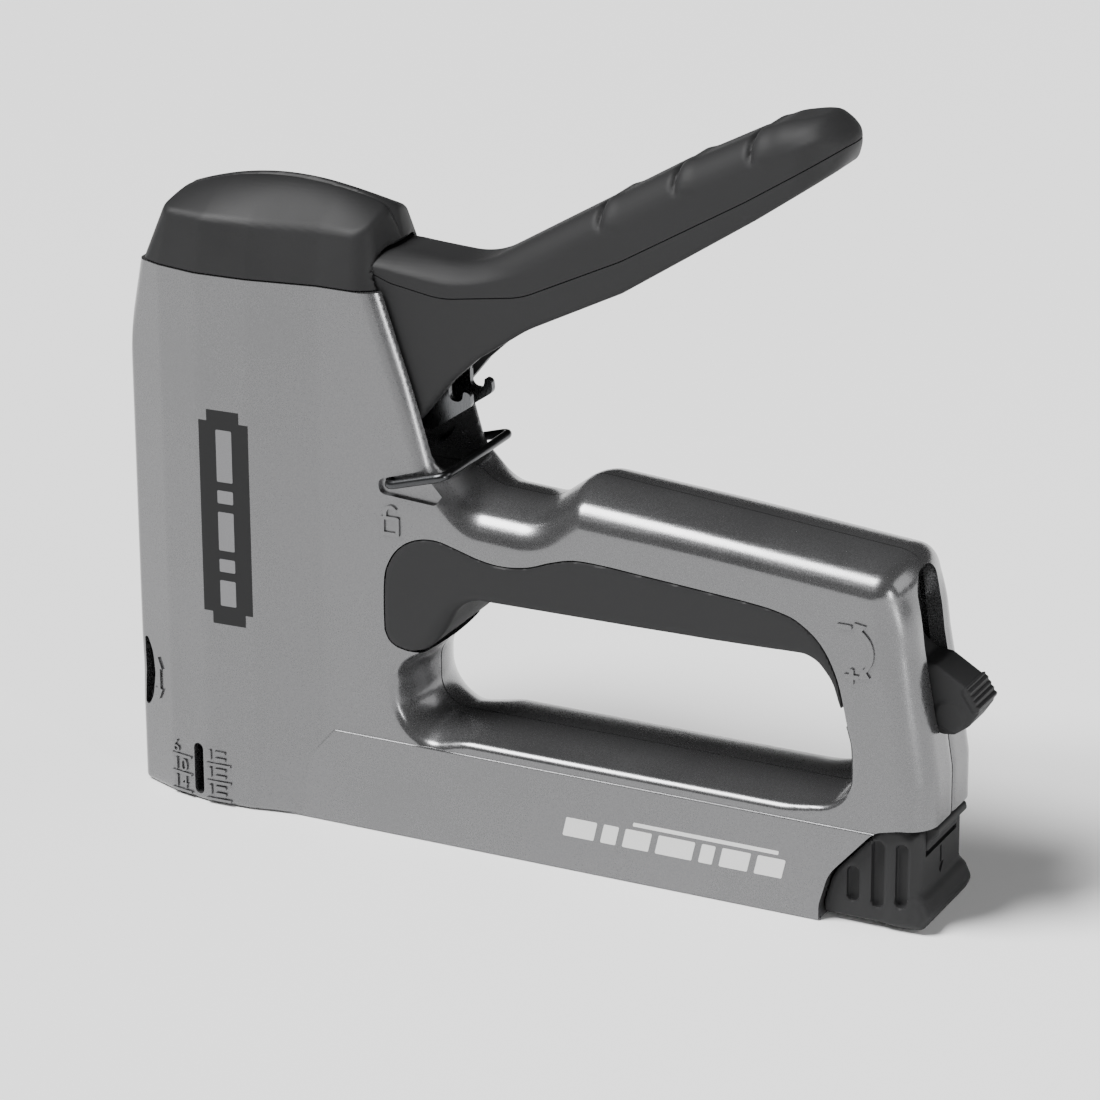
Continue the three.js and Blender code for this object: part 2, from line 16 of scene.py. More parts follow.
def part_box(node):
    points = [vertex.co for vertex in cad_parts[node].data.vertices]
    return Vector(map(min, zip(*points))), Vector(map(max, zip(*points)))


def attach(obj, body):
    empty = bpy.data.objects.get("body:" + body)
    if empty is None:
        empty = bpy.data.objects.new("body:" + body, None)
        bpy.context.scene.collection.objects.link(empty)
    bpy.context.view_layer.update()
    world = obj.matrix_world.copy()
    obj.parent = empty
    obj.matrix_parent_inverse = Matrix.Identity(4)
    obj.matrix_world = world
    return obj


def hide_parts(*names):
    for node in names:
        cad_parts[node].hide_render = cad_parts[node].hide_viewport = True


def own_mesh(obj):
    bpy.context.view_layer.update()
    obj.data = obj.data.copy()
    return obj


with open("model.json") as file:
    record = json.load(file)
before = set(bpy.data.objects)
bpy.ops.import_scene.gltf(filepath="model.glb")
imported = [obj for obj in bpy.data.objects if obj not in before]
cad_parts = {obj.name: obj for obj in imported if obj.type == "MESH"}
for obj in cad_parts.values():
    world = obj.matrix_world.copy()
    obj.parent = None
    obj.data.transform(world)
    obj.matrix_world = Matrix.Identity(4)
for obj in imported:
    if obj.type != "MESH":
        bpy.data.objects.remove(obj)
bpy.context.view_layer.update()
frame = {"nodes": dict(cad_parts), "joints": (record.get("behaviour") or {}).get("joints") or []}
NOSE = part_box("left_housing")[0].x
MM = 0.001
FINE = 0.6
PIVOTS = {
    j["name"]: ((j["pos_m"][0] - NOSE) / MM, j["pos_m"][2] / MM)
    for j in frame["joints"] if "pos_m" in j
}
HINGE = PIVOTS["handle_hinge"]
BAIL = PIVOTS["bail_hinge"]
POWER = PIVOTS["power_lever_hinge"]
LATCH = PIVOTS["latch_hinge"]

HALF = 14.3
HEAD_HALF = 17.3
HEAD_TOP = 124.0
THROAT_HALF = 11.0
HANDLE_HALF = 10.5
PARTING = 0.2
HINGE_PIN = 2.5
POWER_PIN = 2.0
ROLLER_PIN = 1.3
LATCH_PIN = 1.0
BAIL_WIRE = 1.0
PIN_ROOM = 0.3
EMBOSSED = 0.46
LETTERING = 0.42
PRINTED = 0.06
SHARP = 0.05


def row(points):
    """Drawing millimetres to metres in the row frame."""
    return np.asarray(points, float) * MM + np.array([NOSE, 0, 0])


# ---- distances: millimetres, negative inside ----

def meet(a, b, radius):
    """What is in both, with the edge between them rounded."""
    outside = np.hypot(np.maximum(a + radius, 0), np.maximum(b + radius, 0))
    return np.minimum(np.maximum(a, b), -radius) + outside


def join(a, b, radius):
    """What is in either, with the corner between them filled."""
    inside = np.hypot(np.maximum(radius - a, 0), np.maximum(radius - b, 0))
    return np.maximum(np.minimum(a, b), radius) - inside


def cut(a, b, radius):
    """a without b, with the edge between them rounded."""
    return meet(a, -b, radius)


def ease(start, end, value):
    """0 before start, 1 after end, smooth between."""
    t = np.clip((value - start) / (end - start), 0, 1)
    return t * t * (3 - 2 * t)


class Outline:
    """A closed outline of straight runs and arcs, from corners (a, b, radius)."""

    def __init__(self, corners):
        area = sum(p[0] * q[1] - q[0] * p[1] for p, q in zip(corners, corners[1:] + corners[:1]))
        if area < 0:
            corners = corners[::-1]
        spots = np.array([c[:2] for c in corners], float)
        count = len(corners)
        self.arcs = []
        for i, corner in enumerate(corners):
            radius = corner[2] if len(corner) > 2 else SHARP
            back, ahead = spots[i - 1] - spots[i], spots[(i + 1) % count] - spots[i]
            room = 0.49 * min(np.hypot(*back), np.hypot(*ahead))
            back, ahead = back / np.hypot(*back), ahead / np.hypot(*ahead)
            half = math.acos(float(np.clip(back @ ahead, -1, 1))) / 2
            reach = min(radius / math.tan(half), room)
            inward = (back + ahead) / np.hypot(*(back + ahead))
            self.arcs.append({
                "start": spots[i] + back * reach,
                "end": spots[i] + ahead * reach,
                "middle": spots[i] + inward * reach / math.cos(half),
                "radius": reach * math.tan(half),
                "toward": -inward,
                "spread": math.pi / 2 - half,
                "bulge": 1.0 if back[0] * ahead[1] - back[1] * ahead[0] < 0 else -1.0,
            })

    def __call__(self, a, b):
        """Signed distance."""
        best = np.full(np.broadcast(a, b).shape, 1e6)
        for arc, following in zip(self.arcs, self.arcs[1:] + self.arcs[:1]):
            run = following["start"] - arc["end"]
            length = np.hypot(*run)
            run = run / length
            da, db = a - arc["end"][0], b - arc["end"][1]
            along = np.clip(da * run[0] + db * run[1], 0, length)
            far = np.hypot(da - along * run[0], db - along * run[1])
            far = np.where(run[0] * db - run[1] * da > 0, -far, far)
            best = np.where(np.abs(far) < np.abs(best), far, best)
            da, db = a - arc["middle"][0], b - arc["middle"][1]
            reach = np.hypot(da, db)
            within = da * arc["toward"][0] + db * arc["toward"][1] >= reach * math.cos(arc["spread"])
            far = (reach - arc["radius"]) * arc["bulge"]
            best = np.where(within & (np.abs(far) < np.abs(best)), far, best)
        return best

    def points(self, step=0.5):
        """Points along it, closer together on the arcs."""
        result = []
        for arc in self.arcs:
            first = arc["start"] - arc["middle"]
            turn = 2 * arc["spread"]
            count = max(1, int(turn * arc["radius"] / step), int(turn / 0.35)) if arc["radius"] > 0.06 else 1
            begin = math.atan2(first[1], first[0])
            sweep = turn * arc["bulge"]
            for i in range(count + 1):
                angle = begin + sweep * i / count
                result.append(arc["middle"] + arc["radius"] * np.array([math.cos(angle), math.sin(angle)]))
        return np.array(result)


def curve(spots, steps=5):
    """Points on a smooth open curve through the given ones."""
    spots = np.asarray(spots, float)
    last = len(spots) - 1
    result = []
    for i in range(last):
        a, b, c, d = (spots[min(max(i + k, 0), last)] for k in (-1, 0, 1, 2))
        for t in np.arange(steps) / steps:
            result.append(tuple(0.5 * (2 * b + (c - a) * t + (2 * a - 5 * b + 4 * c - d) * t * t
                                       + (3 * b - a - 3 * c + d) * t ** 3)))
    return result + [tuple(spots[-1])]


# ---- meshes ----

def make(name, points, faces):
    """A mesh object from points in drawing millimetres."""
    mesh = bpy.data.meshes.new(name)
    mesh.from_pydata([tuple(p) for p in row(points)], [], [tuple(f) for f in faces])
    mesh.validate()
    obj = bpy.data.objects.new(name, mesh)
    bpy.context.scene.collection.objects.link(obj)
    return obj


CORNERS = [(i, j, k) for i in (0, 1) for j in (0, 1) for k in (0, 1)]
CELL_EDGES = [(p, q) for p in range(8) for q in range(p + 1, 8)
              if sum(a != b for a, b in zip(CORNERS[p], CORNERS[q])) == 1]


def at_corner(grid, corner):
    """The grid's values at one corner of every cell."""
    return grid[tuple(slice(o, n - 1 + o) for o, n in zip(corner, grid.shape))]


def skin(name, field, low, high, step=None):
    """The surface where field is zero, as quads of about the given size, settled onto the field."""
    step = step or FINE
    axes = [np.arange(l, h + step, step) for l, h in zip(low, high)]
    values = field(axes[0][:, None, None], axes[1][None, :, None], axes[2][None, None, :])
    values = np.broadcast_to(values, [len(a) for a in axes])
    inside = values < 0
    total = sum(at_corner(inside, c).astype(np.int8) for c in CORNERS)
    cells = np.argwhere((total > 0) & (total < 8))
    number = np.full(total.shape, -1)
    number[tuple(cells.T)] = np.arange(len(cells))
    at = np.stack([values[tuple((cells + c).T)] for c in CORNERS], 1)
    spot = np.zeros((len(cells), 3))
    hits = np.zeros((len(cells), 1))
    for p, q in CELL_EDGES:
        crosses = (at[:, p] < 0) != (at[:, q] < 0)
        share = np.where(crosses, at[:, p] / np.where(crosses, at[:, p] - at[:, q], 1), 0)[:, None]
        place = np.array(CORNERS[p]) + share * (np.array(CORNERS[q]) - CORNERS[p])
        spot += np.where(crosses[:, None], place, 0)
        hits += crosses[:, None]
    points = (cells + spot / hits) * step + np.array([a[0] for a in axes])
    quads = []
    for axis in range(3):
        near = [slice(None)] * 3
        far = [slice(None)] * 3
        near[axis], far[axis] = slice(None, -1), slice(1, None)
        a, b = inside[tuple(near)], inside[tuple(far)]
        edge = np.argwhere(a != b)
        u, w = np.eye(3, dtype=int)[(axis + 1) % 3], np.eye(3, dtype=int)[(axis + 2) % 3]
        keep = np.all((edge - u - w >= 0) & (edge < np.array(total.shape)), axis=1)
        edge = edge[keep]
        loop = np.stack([number[tuple((edge - o).T)] for o in (0 * u, u, u + w, w)], 1)
        out = a[tuple(edge.T)]
        loop[~out] = loop[~out][:, ::-1]
        quads.append(loop)
    settle(points, field, step)
    return make(name, points, np.concatenate(quads))


def settle(points, field, step):
    """Moves points onto the field's zero."""
    nudge = 0.02
    for _ in range(3):
        x, y, z = points.T
        here = field(x, y, z)
        slope = np.stack([
            field(x + nudge, y, z) - here, field(x, y + nudge, z) - here, field(x, y, z + nudge) - here,
        ], 1) / nudge
        size = np.maximum((slope ** 2).sum(1), 0.2)
        move = np.clip(here / size, -0.5 * step, 0.5 * step)
        points -= move[:, None] * slope


def prism(name, corners, low, high, across="y", step=0.5):
    """An outline made solid: (x, z) across y, (y, z) along x or (x, y) up z."""
    flat = corners.points(step) if isinstance(corners, Outline) else np.asarray(corners, float)
    count = len(flat)
    rings = []
    for level in (low, high):
        a, b, c = flat[:, 0], flat[:, 1], np.full(count, float(level))
        rings.append(np.stack({"y": (a, c, b), "x": (c, a, b), "z": (a, b, c)}[across], 1))
    faces = [tuple(range(count)), tuple(range(2 * count - 1, count - 1, -1))]
    faces += [(i, count + i, count + (i + 1) % count, (i + 1) % count) for i in range(count)]
    obj = make(name, np.concatenate(rings), faces)
    face_outwards(obj)
    return obj


def face_outwards(obj):
    """Turns a closed mesh's faces so that its volume is positive."""
    mesh = obj.data
    mesh.calc_loop_triangles()
    co = np.array([v.co for v in mesh.vertices])
    tri = np.array([t.vertices[:] for t in mesh.loop_triangles])
    if np.einsum("ij,ij->i", co[tri[:, 0]], np.cross(co[tri[:, 1]], co[tri[:, 2]])).sum() < 0:
        mesh.flip_normals()


def block(name, low, high):
    """A box between two opposite corners."""
    (a, b, c), (d, e, f) = low, high
    return prism(name, [(a, c), (d, c), (d, f), (a, f)], b, e)


def twin(obj, name):
    """A separate copy of obj."""
    copy = obj.copy()
    copy.data = obj.data.copy()
    copy.name = name
    bpy.context.scene.collection.objects.link(copy)
    return copy


def freeze(obj):
    """Applies the modifiers."""
    depsgraph = bpy.context.evaluated_depsgraph_get()
    mesh = bpy.data.meshes.new_from_object(obj.evaluated_get(depsgraph))
    obj.modifiers.clear()
    obj.data = mesh
    return obj


def combine(obj, tools, how="DIFFERENCE"):
    """Cuts, joins or intersects obj with the tools, and removes them."""
    for tool in tools:
        modifier = obj.modifiers.new("shape", "BOOLEAN")
        modifier.operation = how
        modifier.solver = "MANIFOLD"
        modifier.object = tool
        freeze(obj)
        bpy.data.objects.remove(tool)
    return obj


def bevel(obj, width, segments=2, angle=35):
    modifier = obj.modifiers.new("bevel", "BEVEL")
    modifier.width = width * MM
    modifier.segments = segments
    modifier.limit_method = "ANGLE"
    modifier.angle_limit = math.radians(angle)
    return freeze(obj)


def smooth(obj, angle=35):
    mesh = obj.data
    mesh.polygons.foreach_set("use_smooth", [True] * len(mesh.polygons))
    mesh.set_sharp_from_angle(angle=math.radians(angle))
    return obj


def tube_faces(rings, sides):
    """The faces of a tube of rings with closed ends."""
    faces = []
    for i in range(rings - 1):
        for j in range(sides):
            k = (j + 1) % sides
            faces.append((i * sides + j, i * sides + k, (i + 1) * sides + k, (i + 1) * sides + j))
    end = (rings - 1) * sides
    faces += [tuple(range(sides - 1, -1, -1)), tuple(range(end, end + sides))]
    return faces


def sweep(name, path, radius, sides=14):
    """A round wire along a path, with rounded ends."""
    path = np.asarray(path, float)
    first, last = path[0] - path[1], path[-1] - path[-2]
    first, last = first / np.linalg.norm(first), last / np.linalg.norm(last)
    reach = 0.35 * radius
    past = [0.97, 0.8, 0.5]
    head = [path[0] + first * reach * t for t in past]
    tail = [path[-1] + last * reach * t for t in past[::-1]]
    shrink = [radius * s for s in (0.45, 0.78, 0.94)]
    sizes = np.concatenate([shrink, np.full(len(path), radius), shrink[::-1]])
    path = np.concatenate([head, path, tail])
    tangent = np.gradient(path, axis=0)
    tangent /= np.linalg.norm(tangent, axis=1)[:, None]
    side = np.cross(tangent[0], [0.3, 0.5, 0.8])
    points = []
    for spot, way, size in zip(path, tangent, sizes):
        side = side - way * (side @ way)
        side /= np.linalg.norm(side)
        up = np.cross(way, side)
        angles = 2 * math.pi * np.arange(sides) / sides
        points.append(spot + size * (np.cos(angles)[:, None] * side + np.sin(angles)[:, None] * up))
    obj = make(name, np.concatenate(points), tube_faces(len(path), sides))
    face_outwards(obj)
    return obj


def lathe(name, profile, centre, axis="y", sides=48):
    """A turned piece: profile holds (distance along the axis, radius)."""
    points = []
    for along, radius in profile:
        for j in range(sides):
            angle = 2 * math.pi * j / sides
            a, b = radius * math.cos(angle), radius * math.sin(angle)
            points.append({"y": (a, along, b), "x": (along, a, b), "z": (a, b, along)}[axis])
    faces = tube_faces(len(profile), sides)
    obj = make(name, np.array(points) + np.array(centre, float), faces)
    face_outwards(obj)
    return obj


def finished(obj, body, material, nodes=(), angle=35):
    """Gives a piece smooth shading and its material, hangs it on its body and hides the CAD nodes it stands
    for.
    """
    smooth(obj, angle)
    steady = obj.modifiers.new("normals", "WEIGHTED_NORMAL")
    steady.keep_sharp = True
    freeze(obj)
    obj.data.materials.clear()
    obj.data.materials.append(material)
    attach(obj, body)
    if nodes:
        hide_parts(*nodes)
    return obj


# ---- outlines of the housings ----

SHELL = Outline([
    (0, -30, 6), (192.4, -30, 6), (192.4, 34, 10), (190.3, 47, 20), (187.5, 62, 20), (185.2, 80.6, 7),
    (110, 86.9, 7), (100.5, 79.6, 9), (86, 80.4, 9), (78.3, 86.2, 4), (60.5, 138, 6), (9, 138, 6),
    (0, 101, 20),
])
PLAN = Outline([
    (-10.2, -5), (2.5, 11.8, 2), (12, 15.6, 8), (22, HEAD_HALF + 0.2, 10), (34, HEAD_HALF - 0.3, 10),
    (50, HALF, 8), (230, HALF), (230, -5),
])
FINGERS = Outline([
    (71.5, 26.7, 9), (174.6, 26.7, 10), (174.4, 41, 20), (173.5, 44.5, 8), (170.2, 54.5, 9),
    (166, 59.6, 8), (142, 58.9, 60), (84, 58.2, 9), (77.5, 46, 12), (71.5, 40, 6),
])
RIM = curve([
    (65.2, 48), (65.1, 54), (65.4, 60.5), (66.5, 64), (68.3, 66.8), (70.9, 69), (74.3, 70.4), (78.4, 70.7),
    (83, 69.6), (88.5, 68.1), (94, 67.5), (100, 68.3), (105.5, 70.3), (111, 71.7), (118, 71.7),
    (126.5, 71.1), (139, 70.2), (151.8, 69.2), (158.1, 68.3), (162.8, 66.7), (168, 62.4), (171.8, 55.1),
    (174.2, 44.6),
])
POCKET = Outline(RIM + [(172.5, 45), (160, 52), (86, 52), (76, 43.9)] + curve(
    [(70.6, 43.9), (68, 44.5), (66.2, 45.8), (65.2, 48)])[:-1])
THROAT = Outline([(30, 84.2), (90, 84.2), (90, 150), (30, 150)])
CORNER = Outline([
    (168.4, -20), (168.4, 3.5, 6), (170.5, 11, 10), (180.5, 22.3, 6), (186.2, 23.7, 4), (210, 23.7),
    (210, -20),
])
BAIL_BED = Outline([(64.3, 82.6, 1.5), (64.6, 79.4, 1.5), (78, 78.6, 1), (84, 88, 1), (76, 86.4, 2)])
PAD = [(30, -4), (52.3, 22.1), (181, 22.1), (181, -4)]
PAD_RISE = 0.45


def shell(x, y, z):
    """The outside of both housings."""
    wide = np.abs(y)
    lean = 0.15 * np.maximum(22 - z, 0) * ease(20, 38, x)
    side = PLAN(x + lean, wide)
    grip = ease(70, 88, x)
    back = ease(180, 187, x) * (1 - ease(66, 78, z))
    dome = (5.0 * grip - 1.2 * ease(95, 150, x)) * (1 - back) * (wide / 13.5) ** 2
    edge = 2 + 3.5 * ease(10, 50, x) - 1.7 * grip + 3.2 * back
    body = meet(SHELL(x, z) + 0.9 * dome, side, edge)
    body = meet(body, -z, 1.0)
    body = cut(body, np.hypot(x + 35.8, z - 27.5) - 37.6, 1.0)
    throat = meet(wide - THROAT_HALF, THROAT(x, z), 5)
    body = cut(body, throat, 0.9)
    flare = (2.2 + 2.4 * (1 - ease(74, 86, x))) * (1 - ease(36, 47, z)) * (1 - 0.8 * ease(158, 172, x))
    return cut(body, FINGERS(x, z) - flare * (wide / HALF) ** 2, 1.3)


def left_half(x, y, z):
    """The left housing, a little past the joints, where it is cut off cleanly later."""
    return np.maximum(np.maximum(shell(x, y, z), y - 0.6), z - HEAD_TOP - 1)


def rooms():
    """The hollows for the mechanism, which show through the openings."""
    return [
        block("magazine room", (2.9, -8.3, 2.4), (210, 8.3, 19.5)),
        block("blade room", (2.9, -6.3, -2), (4.9, 6.3, 51)),
        block("slide room", (0.6, -9.4, 15.6), (4.9, 9.4, 38.6)),
        block("guide room", (2.9, -7.2, 19), (6.5, 7.2, 51)),
        prism("striker room", [(2.9, 49.7), (41, 49.7), (41, 140), (12.4, 140), (2.9, 97)], -10.3, 10.3),
        prism("head room", Outline([(9, 21.8), (60, 21.8), (63, 26), (63, 45), (38, 47.4), (9, 47.4)]),
              -11, 11),
        prism("throat room", Outline([(40.5, 84.4), (70, 84.4, 3), (70, 140), (40.5, 140)]), -10.9, 10.9),
        block("link room", (30, -4, 72.9), (183, 4, 76.6)),
        prism("post room", Outline([
            (179.3, 41), (186.8, 41), (184.2, 60), (182, 76.6), (163, 76.6), (163, 70.4), (171.4, 60.6),
        ]), -6.5, 6.5),
    ]


NOSE_WINDOW = Outline([
    (2.7, 17.2, 1), (5.4, 20.5, 8), (6.4, 27, 8), (5.8, 32, 8), (3.2, 37.2, 1), (3.4, 27, 20),
])
STAPLE_WINDOW = Outline([(17.7, 1.4, 1.25), (20.3, 1.4, 1.25), (20.3, 13.6, 1.25), (17.7, 13.6, 1.25)])
SLOT = Outline([(-5.5, 42.4, 4.5), (5.5, 42.4, 4.5), (5.5, 78, 4.5), (-5.5, 78, 4.5)])
SCREWS = [(14, 36), (56, 29), (50, 66), (181, 34)]


def pin_hole(at, radius, low, high):
    """A round tool across the piece at (x, z)."""
    return lathe("hole", [(low, radius), (high, radius)], (at[0], 0, at[1]), sides=24)


def housings(paint):
    left = skin("left_shell", left_half, (-1.5, -19, -1.5), (194.5, 1.8, 127))
    pad = bevel(prism("pad", PAD, -HALF - PAD_RISE, -HALF + 2), 0.35, 2)
    combine(left, [pad], "UNION")
    combine(left, [block("half", (-9, -30, 0), (300, -PARTING, HEAD_TOP - 0.15))], "INTERSECT")
    tools = rooms()
    tools += [prism("corner", CORNER, -40, 40), prism("nose window", NOSE_WINDOW, -40, 40)]
    tools += [prism("staple window", STAPLE_WINDOW, -40, 40)]
    tools += [prism("pocket", POCKET, -40, 40), prism("bail bed", BAIL_BED, -40, -13.3)]
    tools += [prism("slot", SLOT, 179, 210, "x")]
    tools += [pin_hole(HINGE, HINGE_PIN + PIN_ROOM, -13.1, 1), pin_hole(POWER, POWER_PIN + PIN_ROOM, -9.5, 1)]
    tools += [pin_hole(BAIL, BAIL_WIRE + 0.4, -40, -11.3)]
    combine(left, tools)
    right = twin(left, "right_shell")
    right.data.transform(Matrix.Scale(-1, 4, Vector((0, 1, 0))))
    right.data.flip_normals()
    for at in SCREWS:
        combine(right, [pin_hole(at, 3.1, HALF - 2.6, 40)])
        combine(right, [pin_hole(at, 1.8, 0, HALF - 2)])
        combine(left, [pin_hole(at, 1.8, -9.5, 0)])
    finished(left, "housing", paint, ["left_housing"])
    finished(right, "housing", paint, ["right_housing"])


# ---- black pieces ----

CAP_INSET = 0.25
CAP_TAPER = 0.28
# The half width of the cap is found from this far out.
CAP_PROBE = 10.0
CAP_EAVES = 135.6


def cap(x, y, z):
    """The cap, a dome between its eaves on both sides."""
    wide = np.abs(y)
    up = z - HEAD_TOP
    inset = CAP_INSET + CAP_TAPER * up
    side = PLAN(x, wide) + inset
    front = (6.2 + 0.36 * up) - x
    rear = 0.95 * (x - (66.4 - 0.33 * up - 0.025 * wide ** 2))
    crest = 143.3 - 0.0074 * (x - 38) ** 2
    half = CAP_PROBE - PLAN(x, CAP_PROBE + 0 * wide) - inset
    dome = 0.8 * (z - crest + (crest - CAP_EAVES) * (wide / half) ** 2)
    walls = meet(meet(side, front, 2.5), rear, 3.2)
    body = meet(walls, dome, 0.8)
    arch = meet(meet(wide - 10.9, z - 132.1, 6.6), 46 - x, 0.5)
    return cut(body, arch, 0.4)


def under_cap(x, y, z):
    """The cap and a little more below it, where it is cut off cleanly later."""
    return np.maximum(cap(x, y, z), HEAD_TOP - 1 - z)


def top_cap(plastic):
    body = skin("cap_shell", under_cap, (3, -19.5, 121.5), (68.5, 19.5, 146))
    combine(body, [block("above the joint", (0, -30, HEAD_TOP + 0.15), (90, 30, 200))], "INTERSECT")
    combine(body, [block("room", (29, -9, 120), (47, 9, 133))])
    return finished(body, "housing", plastic, ["top_cap"])


def insert(x, y, z):
    body = meet(POCKET(x, z) + 0.25, np.abs(y) - (HALF + 0.25), 0.5)
    return cut(body, FINGERS(x, z), 1.6 + 1.6 * (1 - ease(74, 90, x)))


def grip_insert(soft):
    body = skin("insert_shell", insert, (65, -16, 42), (175, 16, 73.5))
    return finished(body, "housing", soft, ["grip_insert"])


HANDLE = Outline([
    (54, 93.6, 5), (68, 91.6, 4), (72.6, 96.2, 8), (80, 105.5, 4), (86, 111.2, 6), (98, 119.6, 30),
    (120, 130.8, 10), (150, 150.6, 12), (166.4, 162.2, 5), (170.2, 168.2, 4.5), (164.6, 173.2, 6),
    (154, 170.9, 12), (130, 158.2, 10), (100, 140.2, 10), (84, 130.6, 20), (64, 131.6, 20),
    (52.4, 129, 4), (50.6, 118, 4),
])
SEAM = [
    (40, 126.5), (61, 127.6), (66, 125.8, 6), (78, 123.9, 20), (97, 126.9, 20), (120, 138, 30),
    (148, 154.5, 10), (167.6, 167), (190, 175),
]
# Each notch crosses the top of the handle at (x, z).
NOTCHES = [(113.9, 148.4), (130.9, 158.3), (147.9, 166.9)]
ABOVE = Outline(SEAM + [(190, 200), (40, 200)])


def handle(x, y, z):
    wide = np.abs(y)
    above = -ABOVE(x, z)
    edge = 1.3 + 5.2 * ease(-1, 6, above)
    side = np.hypot(np.maximum(x - 158, 0), wide) - HANDLE_HALF
    body = meet(HANDLE(x, z), side, edge)
    for at, top in NOTCHES:
        past = x - at + 0.23 * (z - top)
        groove = 1.3 * np.exp(-(past / 0.8) ** 2) - 0.45 * np.exp(-((past - 2.4) / 1.7) ** 2)
        body = body + 0.8 * groove * ease(-5.5, -2.5, z - top)
    return body


def handle_pieces(plastic, soft):
    whole = skin("handle_cover_skin", handle, (49, -11.6, 90), (171, 11.6, 175.5))
    lever = twin(whole, "handle_lever_body")
    gap = 0.12
    over = [(c[0], c[1] + gap, *c[2:]) for c in SEAM] + [(190, 200), (40, 200)]
    under = [(c[0], c[1] - gap, *c[2:]) for c in SEAM] + [(190, 60), (40, 60)]
    combine(whole, [prism("over", Outline(over), -30, 30)], "INTERSECT")
    combine(lever, [prism("under", Outline(under), -30, 30)], "INTERSECT")
    low_room = Outline([
        (40, 80), (90, 80), (101, 118.6), (118, 128), (134, 138.8), (134, 143), (119, 134.6), (97, 124),
        (80, 121.3), (66, 122.8), (57, 124.4), (40, 124.4),
    ])
    combine(lever, [prism("room", low_room, -7.2, 7.2), pin_hole(HINGE, HINGE_PIN + PIN_ROOM, -40, 40)])
    combine(whole, [prism("room", Outline([(40, 118), (62, 118), (70, 121), (70, 124.5, 2), (40, 124.5)]),
                          -30, 30)])
    finished(whole, "handle", soft, ["handle_cover"])
    finished(lever, "handle", plastic, ["handle_lever"])


ROLLER_REACH = 28.5
ROLLER_DIP = math.radians(12)
ROLLER = (HINGE[0] - ROLLER_REACH * math.cos(ROLLER_DIP), HINGE[1] - ROLLER_REACH * math.sin(ROLLER_DIP))


def joined(name, pieces):
    """Several closed meshes as one object."""
    combined = pieces[0]
    combine(combined, pieces[1:], "UNION")
    combined.name = name
    return combined


def hook_frame(steel):
    rx, rz = ROLLER
    plate = Outline([
        (rx - 3.3, rz + 3.3, 3), (rx - 3.3, rz - 3.4, 3), (rx + 4, rz - 3.6, 2), (58, 93.6, 4),
        (73, 92.4, 2), (82.6, 99.1, 1.7), (82.3, 101.9, 1.1), (80.7, 102.2, 0.5), (80.4, 99.7, 1.5),
        (77.3, 99.7, 1.5), (77.2, 104, 2), (80.5, 109.4, 2), (100, 121, 6), (115, 128.6, 2),
        (115, 131.4, 2), (97, 122.4, 12), (80, 119.8, 12), (62, 121.6, 4), (57, 115, 6),
        (53, 103.6, 6), (rx + 4, rz + 4.2, 3),
    ])
    web = Outline([(64, 119.4), (80, 118), (96, 120.4), (114.5, 128.9), (114.5, 130.9), (97, 122.2),
                   (80, 119.6), (64, 121)])
    plates = [prism("plate", plate, -5.75, -4.25, step=0.25), prism("plate", plate, 4.25, 5.75, step=0.25)]
    frame_body = joined("handle_frame_plates", plates + [prism("web", web, -5.0, 5.0)])
    combine(frame_body, [
        pin_hole(HINGE, HINGE_PIN + PIN_ROOM, -9, 9), pin_hole(ROLLER, ROLLER_PIN + PIN_ROOM, -9, 9),
    ])
    bevel(frame_body, 0.22, 2)
    return finished(frame_body, "handle", steel, ["handle_frame"])


def round_path(corners, bend, steps=8):
    """A path with its corners rounded."""
    spots = [np.array(c, float) for c in corners]
    path = [spots[0]]
    for before, here, after in zip(spots, spots[1:], spots[2:]):
        a = here + (before - here) / np.linalg.norm(before - here) * bend
        b = here + (after - here) / np.linalg.norm(after - here) * bend
        for i in range(steps + 1):
            t = i / steps
            path.append((1 - t) ** 2 * a + 2 * t * (1 - t) * here + t * t * b)
    return path + [spots[-1]]


def bail(steel):
    reach, rise = 14.6, math.radians(16.3)
    x, z = BAIL
    bar_x, bar_z = x + reach * math.cos(rise), z + reach * math.sin(rise)
    end, out = 11.6, 15.6
    corners = [
        (x, -end, z), (x, -out, z), (bar_x, -out, bar_z), (bar_x, out, bar_z), (x, out, z), (x, end, z),
    ]
    wire = sweep("bail_wire", round_path(corners, 2.2), BAIL_WIRE, 18)
    return finished(wire, "bail", steel, ["lock_bail"], 60)


def lever_tab(x, y, z):
    """The power lever: tab, hub, arm and crank pin, with a ribbed tip."""
    px, pz = POWER
    wide = np.abs(y)
    tab = meet(LEVER(x, z), wide - 5, 0.8)
    hub = meet(np.hypot(x - px, z - pz) - 4.8, wide - 4.6, 0.4)
    arm = meet(LEVER_ARM(x, z), wide - 1.2, 0.3)
    pin = meet(np.hypot(x - px, z - pz - 9.5) - 1.4, wide - 3, 0.3)
    down = (x - 196.8) * 0.555 - (z - 54.6) * 0.832
    ribs = 0.15 * np.cos(5 * down)
    tip = meet(LEVER_TIP(x, z) - ribs, wide - 5.4, 0.5)
    boss = meet(np.hypot(x - 193.2, z - 47.6) - 3.4, wide - 5.35, 0.4)
    body = np.minimum(join(tab, hub, 0.8), np.minimum(arm, pin))
    body = np.minimum(body, np.minimum(tip, boss))
    return cut(body, np.hypot(x - px, z - pz) - 2.3, 0.2)


